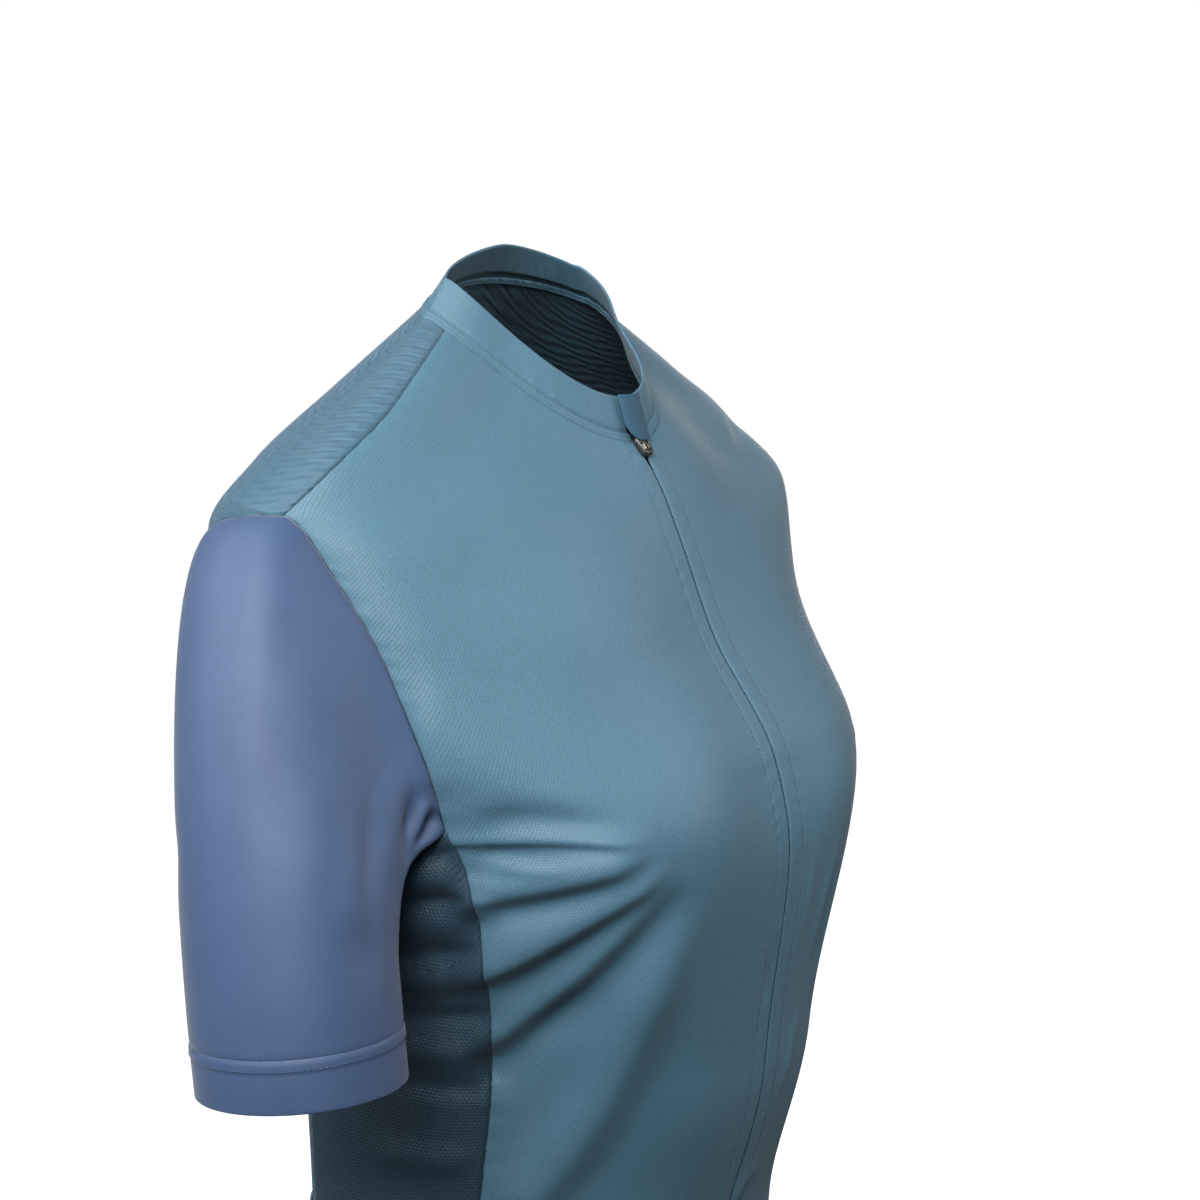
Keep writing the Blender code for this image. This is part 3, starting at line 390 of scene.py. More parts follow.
def fold_relief(points, normals, folds, place):
    """How far folds lift each point of a cloth; place gives the points of their lines."""
    lift = np.zeros(len(points))
    t = np.linspace(0, 1, FOLD_STEPS)
    for row in folds:
        fold = dict(zip(FOLD_COLUMNS, row))
        angle = fold["angle_a"] + (fold["angle_b"] - fold["angle_a"]) * t
        level = fold["level_a"] + (fold["level_b"] - fold["level_a"]) * t
        line = place(angle, level + fold["bow"] * 4 * t * (1 - t))
        reach = FOLD_REACH * MM * max(fold["left_mm"], fold["right_mm"])
        near = np.all((points > line.min(0) - reach) & (points < line.max(0) + reach), axis=1)
        here = points[near]
        if not len(here):
            continue
        run = np.diff(line, axis=0)
        away = here[:, None] - line[:-1]
        along = np.clip((away * run).sum(-1) / (run ** 2).sum(-1), 0, 1)
        miss = away - along[..., None] * run
        gap = np.linalg.norm(miss, axis=-1)
        span = gap.argmin(axis=1)
        pick = (np.arange(len(here)), span)
        share = (span + along[pick]) / (FOLD_STEPS - 1)
        is_left = (np.cross(normals[near], run[span]) * miss[pick]).sum(-1) > 0
        width = np.where(is_left, fold["left_mm"], fold["right_mm"]) * MM
        grow = smooth_step(share / fold["rise"]) * smooth_step((1 - share) / fold["fall"])
        lift[near] += fold["height_mm"] * MM * grow * bell(gap[pick], width)
    return lift


def cloth(angle, level):
    """Points of the folded body."""
    angle, level = np.broadcast_arrays(np.asarray(angle, float), np.asarray(level, float))
    smooth = body_form(angle, level)
    normals = outward(body_form, angle, level)
    lift = fold_relief(
        smooth.reshape(-1, 3), normals.reshape(-1, 3), MAIN_FOLDS + FINE_FOLDS, body_form)
    return smooth + normals * lift.reshape(angle.shape)[..., None]


def run_along(points):
    """Distance along a line of points, from its start."""
    steps = np.linalg.norm(np.diff(points, axis=0), axis=1)
    return np.concatenate([[0], np.cumsum(steps)])


def seam(table, start, end, count):
    """Angles and levels at even steps of length along a seam, both ends included."""
    along, angles, levels = np.array(table, dtype=float).T
    fine = np.linspace(start, end, CURVE_STEPS)
    angle = curve_through(along, angles, fine)
    level = curve_through(along, levels, fine)
    length = run_along(body_form(angle, level))
    even = np.linspace(0, length[-1], count + 1)
    return np.interp(even, length, angle), np.interp(even, length, level)


def seam_at_levels(table, levels):
    """Angles of a rising seam at given levels."""
    angles, knots = np.array(table, dtype=float).T[1:]
    return curve_through(knots, angles, levels)


def front_edge(level):
    """Half the width of the slit between the two fronts."""
    opened = smooth_step((level - EDGE_OPENS_AT) / (1 - EDGE_OPENS_AT))
    return FRONT_EDGE + (FRONT_EDGE_AT_NECK - FRONT_EDGE) * opened


def angle_at_x(x, level):
    """The angle at which the front lies a given distance from its middle."""
    return np.degrees(np.arcsin(x / section("half_width", level)))


LOWER_LEVELS = seam(FRONT_SIDE_SEAM, 0, WAIST_FROM, LOWER_ROWS)[1]
WAIST_LEVELS = seam(FRONT_SIDE_SEAM, WAIST_FROM, 1, WAIST_ROWS)[1]
SIDE_LEVELS = np.concatenate([LOWER_LEVELS, WAIST_LEVELS[1:]])
FRONT_ARM = [values[::-1] for values in seam(ARMHOLE, *ARMHOLE_FRONT, ARMHOLE_ROWS)]
YOKE = seam(YOKE_SEAM, 0, 1, YOKE_ROWS)


def panel_edge(side_seam, arm):
    """Angles and levels up a panel's edge: its side seam, its armhole and the yoke seam."""
    angle = [seam_at_levels(side_seam, SIDE_LEVELS), arm[0][1:], YOKE[0][1:]]
    level = [SIDE_LEVELS, arm[1][1:], YOKE[1][1:]]
    return np.concatenate(angle)[:, None], np.concatenate(level)[:, None]


def lengths(grid, axis):
    """Distance along the cloth at each point, from the first row or column."""
    step = np.linalg.norm(np.diff(grid, axis=axis), axis=-1)
    start = np.zeros_like(np.take(step, [0], axis=axis))
    return np.concatenate([start, np.cumsum(step, axis=axis)], axis=axis)


def grid_normals(grid):
    """Outward normals at the points of an open grid."""
    return unit(np.cross(np.gradient(grid, axis=1), np.gradient(grid, axis=0)))


def ripple(along, step):
    """Uneven small waves along a seam, between -1 and 1."""
    turns = along / step * 2 * np.pi
    wander = RIPPLE_WANDER * np.sin(turns / RIPPLE_WANDER_STEPS)
    strength = 1 - RIPPLE_FADE + RIPPLE_FADE * np.sin(turns / RIPPLE_FADE_STEPS + 1.0)
    return strength * np.sin(turns + wander)


def sewn(grid, first=False, last=False, top=False, bottom=False):
    """Sink a panel's chosen edges into their seams, with the puckers that sewing leaves."""
    across = lengths(grid, 1)
    up = lengths(grid, 0)
    lift = np.zeros(grid.shape[:2])
    edges = (
        (first, across, up), (last, across[:, -1:] - across, up),
        (bottom, up, across), (top, up[-1:] - up, across),
    )
    for chosen, gap, along in edges:
        if chosen:
            lift -= SEAM_DIP * bell(gap, SEAM_DIP_WIDTH)
            wave = SEAM_PUCKER * ripple(along, SEAM_PUCKER_STEP)
            lift += wave * bell(gap, SEAM_PUCKER_REACH)
    return grid + grid_normals(grid) * lift[..., None]


def front_panel(side):
    """Points of one front, from the zip to its side, armhole and yoke seams."""
    seam_angle, level = panel_edge(FRONT_SIDE_SEAM, FRONT_ARM)
    edge = front_edge(level)
    steps = np.array(PLACKET_STEPS)[None]
    opened = edge + (steps - FRONT_EDGE) * (PLACKET - edge) / (PLACKET - FRONT_EDGE)
    near = angle_at_x(np.where(steps < PLACKET, opened, steps), level)
    even = np.linspace(0, EVEN_SHARE, FRONT_COLUMNS)[1:-1]
    shares = np.concatenate([even, SEAM_SHARES])
    angle = np.hstack([near, near[:, -1:] + (seam_angle - near[:, -1:]) * shares[None]])
    grid = cloth(side * angle[:, ::side], level)
    grid = sewn(grid, first=side < 0, last=side > 0, top=True)
    across = lengths(grid, 1)
    from_edge = across[:, -1:] - across if side < 0 else across
    up = lengths(grid, 0)
    stitched = from_edge - PLACKET + FRONT_EDGE
    lift = BAND_RISE * smooth_step(-stitched / STITCH_DIP_WIDTH)
    lift -= STITCH_DIP * bell(stitched, STITCH_DIP_WIDTH)
    lift -= EDGE_ROLL * (1 - smooth_step(from_edge / EDGE_ROLL_WIDTH)) ** 2
    wave = ripple(up + PUCKER_SLANT * from_edge, PUCKER_STEP)
    lift += PUCKER * wave * bell(stitched, PUCKER_REACH)
    return grid + grid_normals(grid) * lift[..., None]


def add_object(name, data):
    """A new object in the scene."""
    made = bpy.data.objects.new(name, data)
    bpy.context.scene.collection.objects.link(made)
    return made


def over_node(piece, node):
    """Put a piece in the place of its CAD node, on the part's one body."""
    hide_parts(node)
    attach(piece, "root")


def sew_mesh(name, grid, look, wall, tube=False, from_last=False):
    """A piece of cloth from its points, with its own measure in metres as its UV map."""
    rows, columns = grid.shape[:2]
    closed = np.concatenate([grid, grid[:, :1]], axis=1) if tube else grid
    across = lengths(closed, 1)
    if from_last:
        across = across - across[:, -1:]
    up = lengths(closed, 0)
    spans = columns if tube else columns - 1
    row, column = np.meshgrid(np.arange(rows - 1), np.arange(spans), indexing="ij")
    row = row.ravel()
    column = column.ravel()
    beside = (column + 1) % columns
    faces = np.stack([row * columns + column, row * columns + beside,
                      (row + 1) * columns + beside, (row + 1) * columns + column], axis=1)
    mesh = bpy.data.meshes.new(name)
    mesh.from_pydata(grid.reshape(-1, 3).tolist(), [], faces.tolist())
    corners = ((row, column), (row, column + 1), (row + 1, column + 1), (row + 1, column))
    marks = np.stack([np.stack([across[c], up[c]], axis=-1) for c in corners], axis=1)
    mesh.uv_layers.new(name="cloth").data.foreach_set("uv", marks.astype(np.float32).ravel())
    mesh.materials.append(look)
    mesh.shade_smooth()
    piece = add_object(name, mesh)
    if wall:
        shell = piece.modifiers.new("wall", "SOLIDIFY")
        shell.thickness = wall
        shell.offset = -1.0
    return piece


class Number:
    """A number in a material's nodes, which can be written as in a sum."""

    def __init__(self, tree, socket):
        self.tree = tree
        self.socket = socket

    def use(self, operation, other=None, clamp=False):
        made = self.tree.nodes.new("ShaderNodeMath")
        made.operation = operation
        made.use_clamp = clamp
        self.tree.links.new(self.socket, made.inputs[0])
        if isinstance(other, Number):
            self.tree.links.new(other.socket, made.inputs[1])
        elif other is not None:
            made.inputs[1].default_value = other
        return Number(self.tree, made.outputs[0])

    __add__ = partialmethod(use, "ADD")
    __sub__ = partialmethod(use, "SUBTRACT")
    __mul__ = partialmethod(use, "MULTIPLY")
    __truediv__ = partialmethod(use, "DIVIDE")


def fabric(name, roughness, sheen):
    """A cloth material: its nodes, its shader, and the cloth's measure across and up."""
    look = bpy.data.materials.new(name)
    look.use_nodes = True
    tree = look.node_tree
    shader = tree.nodes["Principled BSDF"]
    shader.inputs["Roughness"].default_value = roughness
    shader.inputs["Sheen Weight"].default_value = sheen
    shader.inputs["Sheen Roughness"].default_value = SHEEN_ROUGHNESS
    measure = tree.nodes.new("ShaderNodeUVMap")
    measure.uv_map = "cloth"
    split = tree.nodes.new("ShaderNodeSeparateXYZ")
    tree.links.new(measure.outputs[0], split.inputs[0])
    return look, shader, Number(tree, split.outputs[0]), Number(tree, split.outputs[1])


def cloudy(tree, scale, detail):
    """Soft noise, 0 to 1, fixed to the piece."""
    place = tree.nodes.new("ShaderNodeTexCoord")
    noise = tree.nodes.new("ShaderNodeTexNoise")
    noise.inputs["Scale"].default_value = scale
    noise.inputs["Detail"].default_value = detail
    tree.links.new(place.outputs["Object"], noise.inputs["Vector"])
    return Number(tree, noise.outputs[0])


def colour_by(shader, share, low, high, clouds=0.10, grain=0.09):
    """Base colour between two colours, clouded a little and with a fine grain."""
    tree = share.tree
    blend = tree.nodes.new("ShaderNodeMix")
    blend.data_type = "RGBA"
    tree.links.new(share.socket, blend.inputs[0])
    blend.inputs[6].default_value = (*low, 1.0)
    blend.inputs[7].default_value = (*high, 1.0)
    tone = tree.nodes.new("ShaderNodeHueSaturation")
    broad = cloudy(tree, CLOUDS_PER_METRE, 3.0) * clouds
    uneven = broad + cloudy(tree, GRAINS_PER_METRE, 2.0) * grain
    level = uneven + (1 - 0.5 * (clouds + grain))
    tree.links.new(level.socket, tone.inputs["Value"])
    tree.links.new(blend.outputs[2], tone.inputs["Color"])
    tree.links.new(tone.outputs[0], shader.inputs["Base Color"])


def raise_by(shader, height, distance, strength=1.0):
    """Bump from a height between 0 and 1, over a distance in metres."""
    tree = height.tree
    bump = tree.nodes.new("ShaderNodeBump")
    bump.inputs["Strength"].default_value = strength
    bump.inputs["Distance"].default_value = distance
    tree.links.new(height.socket, bump.inputs["Height"])
    tree.links.new(bump.outputs[0], shader.inputs["Normal"])


def pinholes(across, up, pitch, rise, size):
    """1 on the yarn and 0 in the holes of a knitted mesh, with alternate rows shifted."""
    row = up / rise
    shift = row.use("FLOOR").use("FLOORED_MODULO", 2.0) * 0.5
    x = ((across / pitch + shift).use("FRACT") - 0.5) * pitch
    y = (row.use("FRACT") - 0.5) * rise
    gap = (x * x + y * y).use("SQRT")
    return ((gap - size * HOLE_CLEAR) / (size * HOLE_SOFT)).use("MULTIPLY", 1.0, clamp=True)


def ribs(across, pitch):
    """Fine ribs of a knit, 0 to 1."""
    return (across * (2 * np.pi / pitch)).use("SINE") * 0.5 + 0.5


def mesh_knit(name, yarn, hole, pitch, rise, size, roughness, sheen, depth, grain):
    """A knitted mesh: small holes in offset rows between fine ribs."""
    look, shader, across, up = fabric(name, roughness, sheen)
    holes = pinholes(across, up, pitch, rise, size)
    colour_by(shader, holes, hole, yarn, grain=grain)
    rib = ribs(across, pitch / RIBS_PER_HOLE) * ribs(up, rise / 2)
    raise_by(shader, holes * (1 - RIB_RELIEF) + rib * RIB_RELIEF, depth)
    return look


FRONT_LOOK = dict(
    yarn=FRONT_YARN, hole=FRONT_HOLE, pitch=PINHOLE_PITCH, rise=PINHOLE_RISE,
    size=PINHOLE_SIZE, roughness=0.52, sheen=0.15, depth=0.00012, grain=0.42)
front_knit = mesh_knit("front_pinhole_knit", **FRONT_LOOK)
front_grids = {}
for side, name, area in ((-1, "front_right", 0.0963), (1, "front_left", 0.0954)):
    grid = front_panel(side)
    front_grids[side] = grid
    piece = sew_mesh(name + "_knit", grid, front_knit, CLOTH_WALL, from_last=side < 0)
    over_node(piece, name)

# ---------------------------------------------------------------- the side panels
# Each side panel is a more open mesh of darker yarn, set between front and back and sewn up
# to the underarm. Its colour is darkened further with painted shade for the arm's shadow.

# Yarn and hole colours of the side mesh: darker yarn, darkened further with painted shade for the
# arm's shadow.
SIDE_YARN_AND_PAINTED_SHADE = (0.020, 0.052, 0.082)
SIDE_HOLE_AND_PAINTED_SHADE = (0.013, 0.035, 0.056)
SIDE_PITCH = 0.0021
SIDE_RISE = 0.0015
SIDE_HOLE_SIZE = 0.00046
BACK_SIDE_SEAM = ((0.00, 120.0, 0.000), (0.50, 120.5, 0.335), (1.00, 119.0, 0.627))
ARMHOLE_UNDER = (0.395, 0.610)
UNDERARM_COLUMNS = 44
UNDER_ARM = seam(ARMHOLE, *ARMHOLE_UNDER, UNDERARM_COLUMNS)


def side_panel(side):
    """Points of one side panel, from its front seam to its back seam."""
    across = np.linspace(0, 1, UNDERARM_COLUMNS + 1)[None]
    front = seam_at_levels(FRONT_SIDE_SEAM, SIDE_LEVELS)[:, None]
    back = seam_at_levels(BACK_SIDE_SEAM, SIDE_LEVELS)[:, None]
    angle = front + (back - front) * across
    level = SIDE_LEVELS[:, None] * (UNDER_ARM[1] / UNDER_ARM[1][0])[None]
    near_top = smooth_step(SIDE_LEVELS[:, None] / SIDE_LEVELS[-1])
    start, end = UNDER_ARM[0][[0, -1]]
    angle = angle + (UNDER_ARM[0] - start - (end - start) * across) * near_top ** 3
    return cloth(side * angle[:, ::side], level[:, ::side])


side_knit = mesh_knit(
    "side_open_mesh_and_painted_shade", yarn=SIDE_YARN_AND_PAINTED_SHADE, hole=SIDE_HOLE_AND_PAINTED_SHADE, pitch=SIDE_PITCH, rise=SIDE_RISE,
    size=SIDE_HOLE_SIZE, roughness=0.55, sheen=0.10, depth=0.00018, grain=0.30)
for side, name in ((-1, "side_right"), (1, "side_left")):
    grid = sewn(side_panel(side), first=True, last=True, top=True)
    piece = sew_mesh(name + "_mesh", grid, side_knit, CLOTH_WALL)
    over_node(piece, name)

# ---------------------------------------------------------------- the back
# The back is one piece of jacquard with soft zigzag ridges. It runs over the shoulders as
# a yoke to a seam in front of them.

ARMHOLE_BACK = (0.610, 1.0)
BACK_ARM = seam(ARMHOLE, *ARMHOLE_BACK, ARMHOLE_ROWS)
HALF_BACK_COLUMNS = 64
BACK_YARN = (0.055, 0.136, 0.203)
BACK_GROOVE = (0.046, 0.118, 0.180)
ZIGZAG_RISE = 0.0078
ZIGZAG_WIDTH = 0.0140
ZIGZAG_HEIGHT = 0.0028
ZIGZAG_DEPTH = 0.0007
FINE_RIB = 0.0009
FINE_COURSE = 0.0008
FINE_COLOUR = 0.2
FINE_RELIEF = 0.14


def back_angles():
    """Angles and levels of the back, from the wearer's left seam round to the right."""
    seam_angle, seam_level = panel_edge(BACK_SIDE_SEAM, BACK_ARM)
    above = np.linspace(SIDE_LEVELS[-1], 1, ARMHOLE_ROWS + YOKE_ROWS + 1)[1:]
    middle_level = np.concatenate([SIDE_LEVELS, above])[:, None]
    across = np.linspace(0, 1, HALF_BACK_COLUMNS + 1)[None]
    angle = seam_angle + (180 - seam_angle) * across
    level = seam_level + (middle_level - seam_level) * across
    return np.hstack([angle, 360 - angle[:, -2::-1]]), np.hstack([level, level[:, -2::-1]])


def jacquard(name):
    """A jacquard knit with wavy zigzag ridges across it."""
    look, shader, across, up = fabric(name, roughness=0.52, sheen=0.15)
    zigzag = (across / ZIGZAG_WIDTH * 2).use("PINGPONG", 1.0)
    bent = zigzag * zigzag * (zigzag * -2 + 3)
    ridge = ribs(up + bent * ZIGZAG_HEIGHT, ZIGZAG_RISE)
    fine = ribs(across, FINE_RIB) * ribs(up, FINE_COURSE)
    colour_by(shader, ridge * (1 - FINE_COLOUR) + fine * FINE_COLOUR, BACK_GROOVE, BACK_YARN)
    raise_by(shader, ridge * (1 - FINE_RELIEF) + fine * FINE_RELIEF, ZIGZAG_DEPTH)
    return look


back_knit = jacquard("back_jacquard_knit")
back_angle, back_level = back_angles()
back_grid = sewn(cloth(back_angle, back_level), first=True, last=True, top=True)
back_cloth = sew_mesh("back_jacquard", back_grid, back_knit, CLOTH_WALL)
over_node(back_cloth, "back")

# ---------------------------------------------------------------- the rear pockets
# One panel is laid on the lower back, caught in the side seams and the hem, and divided
# into three pockets by two upright rows of stitches. Its top edge is a turned hem.

POCKET_TOP_LEVEL = 0.300
POCKET_OUT = 0.0013
POCKET_WALL = 0.0009
POCKET_HEIGHT = 0.190
POCKET_HEM = 0.0150
POCKET_HEM_DIP = 0.0004
POCKET_HEM_DIP_WIDTH = 0.0009
POCKET_STITCH_ANGLES = (160.5, 199.5)
POCKET_GROOVE = 0.0009
POCKET_GROOVE_WIDTH = 0.0016
POCKET_FULLNESS = 0.0012
POCKET_FULLNESS_WIDTH = 0.0120


def nearest(values, wanted):
    """Place of the value nearest to a wanted one."""
    return int(np.abs(values - wanted).argmin())


pocket_rows = int(np.searchsorted(back_level[:, 0], POCKET_TOP_LEVEL))
pocket_grid = back_grid[:pocket_rows] + grid_normals(back_grid)[:pocket_rows] * POCKET_OUT
pocket_grid = sewn(pocket_grid, first=True, last=True)
pocket_up = lengths(pocket_grid, 0)
pocket_across = lengths(pocket_grid, 1)
below_top = pocket_up[-1:] - pocket_up
lift = -POCKET_HEM_DIP * bell(below_top - POCKET_HEM, POCKET_HEM_DIP_WIDTH)
pocket_columns = [nearest(back_angle[0], angle) for angle in POCKET_STITCH_ANGLES]
for column in pocket_columns:
    gap = pocket_across - pocket_across[:, column:column + 1]
    fullness = bell(gap, POCKET_FULLNESS_WIDTH) * (pocket_up / POCKET_HEIGHT) ** 2
    lift += POCKET_FULLNESS * fullness - POCKET_GROOVE * bell(gap, POCKET_GROOVE_WIDTH)
pocket_grid = pocket_grid + grid_normals(pocket_grid) * lift[..., None]
pockets = sew_mesh("pocket_jacquard", pocket_grid, back_knit, POCKET_WALL)
over_node(pockets, "pocket_panel")

# ---------------------------------------------------------------- the sleeves and cuffs
# The sleeves are cut from smooth warp-knitted lycra, gathered a little into the underarm.
# Each ends in a 22 mm cuff, folded double, with a raised seam where it is set on.

SLEEVE_COLUMNS = (
    "side", "cuff_x", "cuff_y", "cuff_z", "lean_out", "lean_forward",
    "top_out", "top_forward", "top_up", "under_out", "under_forward", "under_up",
    "mid_out", "mid_forward", "mid_up",
)
SLEEVES = (
    (-1, 0.209, -0.033, -0.304, -0.035, 0.070,
     0.039, 0.000, -0.002, 0.010, 0.000, -0.003, 0.035, -0.012, -0.022),
    (1, 0.196, 0.036, -0.298, -0.010, -0.140,
     0.034, -0.012, -0.004, 0.016, -0.004, -0.008, 0.032, -0.012, -0.026),
)
CUFF_RADIUS_ACROSS = 0.043
CUFF_RADIUS_ALONG = 0.0465
CUFF_HANDLE = 0.096
CUFF_DEPTH = 0.022
SLEEVE_ROWS = 140
CUFF_ROWS = 22
BEZIER_STEPS = 90
ARM_SEAM_DIP = 0.00015
ARM_SEAM_PUCKER = 0.00016

# The cuff's set-on seam, the ridge of cloth under its stitches, and its turned end.
CUFF_SEAM_DIP = 0.0004
CUFF_SEAM_WIDTH = 0.0006
CUFF_RIDGE_END = 0.0054
CUFF_RIDGE_RISE = 0.0004
CUFF_RIDGE_SLOPE = 0.0008
CUFF_GROOVE = 0.0003
CUFF_GROOVE_WIDTH = 0.0005
CUFF_STITCH = 0.0044
CUFF_STITCH_OUT = 0.00012
CUFF_FOLD = 0.0009
CUFF_FOLD_STEPS = 7

# Creases of a sleeve: turn round it and share along it, then as for the body's folds.
SLEEVE_FOLDS = (
    (103, 0.05, 130, 0.30, 0, -4.6, 4.6, 4.6, 0.45, 0.6),
    (111, 0.02, 130, 0.26, 0, 2.2, 3.0, 3.0, 0.25, 0.6),
    (118, 0.01, 131, 0.24, 0, -4.4, 3.8, 3.8, 0.2, 0.55),
    (136, 0.06, 138, 0.40, 0, 2.0, 4.0, 4.0, 0.25, 0.5),
    (148, 0.08, 150, 0.46, 0, -2.0, 4.4, 4.4, 0.25, 0.5),
    (98, 0.22, 88, 0.66, 0, -1.4, 6.0, 6.6, 0.35, 0.5),
    (84, 0.34, 74, 0.80, 0, 1.2, 8.0, 8.0, 0.4, 0.5),
    (22, 0.30, 64, 0.40, 0.02, -1.0, 12.0, 11.0, 0.45, 0.45),
    (8, 0.44, 58, 0.56, 0.02, -0.9, 12.0, 10.0, 0.45, 0.45),
    (350, 0.62, 40, 0.70, 0.02, -0.8, 11.0, 11.0, 0.45, 0.45),
    (60, 0.66, 100, 0.80, 0.02, -0.8, 10.0, 10.0, 0.45, 0.45),
    (232, 0.14, 250, 0.48, 0, 2.6, 5.0, 5.0, 0.25, 0.45),
    (244, 0.12, 262, 0.44, 0, -2.2, 5.0, 5.0, 0.25, 0.45),
    (222, 0.16, 232, 0.56, 0, -2.4, 4.4, 4.4, 0.25, 0.4),
    (270, 0.30, 310, 0.42, 0.02, -1.0, 11.0, 11.0, 0.45, 0.45),
    (280, 0.56, 330, 0.66, 0.02, -0.9, 11.0, 11.0, 0.45, 0.45),
)
SLEEVE_LIGHT = (0.053, 0.095, 0.197)
SLEEVE_SHADE = (0.046, 0.083, 0.176)
LYCRA_RIB = 0.0007
LYCRA_COURSE = 0.0006
LYCRA_RIB_SHARE = 0.6
LYCRA_RELIEF = 0.00005
LYCRA_CLOUDS_PER_METRE = 38.0
LYCRA_CONTRAST = 1.6


def arm_ring(side):
    """The armhole's points on the body, from its top round the front, and their turns."""
    angle, level = (
        np.concatenate([front[::-1], under[1:-1], back[:-1]])
        for front, under, back in zip(FRONT_ARM, UNDER_ARM, BACK_ARM))
    points = cloth(side * angle, level)
    length = run_along(np.vstack([points, points[:1]]))
    lowest = length[ARMHOLE_ROWS + UNDERARM_COLUMNS // 2]
    first_half = np.clip(length / lowest, 0, 1)
    second_half = np.clip((length - lowest) / (length[-1] - lowest), 0, 1)
    return points, (180 * (first_half + second_half))[:-1]


def sleeve_grid(sleeve):
    """Rings of one sleeve from the armhole to the end of its cuff, and their turns."""
    side = sleeve["side"]
    armhole, turns = arm_ring(side)
    turn = np.radians(turns)[:, None]
    down = unit(np.array([side * sleeve["lean_out"], -sleeve["lean_forward"], -1.0]))
    out = np.array([side, 0.0, 0.0])
    out = unit(out - down * (out @ down))
    forward = np.cross(down, out) * side
    centre = np.array([side * sleeve["cuff_x"], sleeve["cuff_y"], sleeve["cuff_z"]])
    cuff = centre + CUFF_RADIUS_ACROSS * np.cos(turn) * out
    cuff = cuff + CUFF_RADIUS_ALONG * np.sin(turn) * forward

    def handle(place, flip):
        out, forward, up = (sleeve[place + way] for way in ("_out", "_forward", "_up"))
        return np.array([side * out, -flip * forward, up])

    top = np.clip(np.cos(turn), 0, 1)
    under = np.clip(-np.cos(turn), 0, 1)
    leave = top * handle("top", 1) + under * handle("under", 1)
    facing = np.where(np.sin(turn) > 0, handle("mid", 1), handle("mid", -1))
    leave = leave + (1 - top - under) * facing
    t = np.linspace(0, 1, BEZIER_STEPS + 1)[:, None, None]
    first = armhole + leave
    last = cuff - down * CUFF_HANDLE
    path = (1 - t) ** 3 * armhole + 3 * (1 - t) ** 2 * t * first
    path = path + 3 * (1 - t) * t ** 2 * last + t ** 3 * cuff
    rings = np.empty((SLEEVE_ROWS + CUFF_ROWS + 1, len(turn), 3))
    for k in range(len(turn)):
        column = path[:, k]
        length = run_along(column)
        seam_at = length[-1] - CUFF_DEPTH
        stops = np.linspace(0, seam_at, SLEEVE_ROWS + 1)
        stops = np.concatenate([stops, np.linspace(seam_at, length[-1], CUFF_ROWS + 1)[1:]])
        for axis in range(3):
            rings[:, k, axis] = np.interp(stops, length, column[:, axis])
    return rings, turns


def tube_normals(grid, side):
    """Outward normals of a tube whose rings run from its top to its end."""
    round_it = np.roll(grid, -1, axis=1) - np.roll(grid, 1, axis=1)
    return unit(np.cross(round_it, np.gradient(grid, axis=0))) * side


def on_tube(grid, turns):
    """A way to find points of a tube by turn in degrees and share along it."""
    closed = np.concatenate([grid, grid[:, :1]], axis=1)
    marks = np.append(turns, 360.0)

    def place(turn, along):
        column = np.interp(np.mod(turn, 360.0), marks, np.arange(len(marks)))
        row = along * (len(grid) - 1)
        c = np.clip(column.astype(int), 0, len(marks) - 2)
        r = np.clip(row.astype(int), 0, len(grid) - 2)
        u = (column - c)[:, None]
        v = (row - r)[:, None]
        low = closed[r, c] * (1 - u) + closed[r, c + 1] * u
        high = closed[r + 1, c] * (1 - u) + closed[r + 1, c + 1] * u
        return low * (1 - v) + high * v

    return place


def lycra(name, light, shade, roughness, sheen):
    """Smooth stretch lycra: hardly any grain, with a satin sheen that clouds softly."""
    look, shader, across, up = fabric(name, roughness, sheen)
    rib = ribs(across, LYCRA_RIB) * LYCRA_RIB_SHARE
    soft = (cloudy(shader.id_data, LYCRA_CLOUDS_PER_METRE, 2.0) - 0.5) * LYCRA_CONTRAST + 0.5
    soft = soft.use("ADD", 0.0, clamp=True)
    colour_by(shader, soft, shade, light, clouds=0.08, grain=0.20)
    raise_by(shader, rib + ribs(up, LYCRA_COURSE) * (1 - LYCRA_RIB_SHARE), LYCRA_RELIEF)
    return look


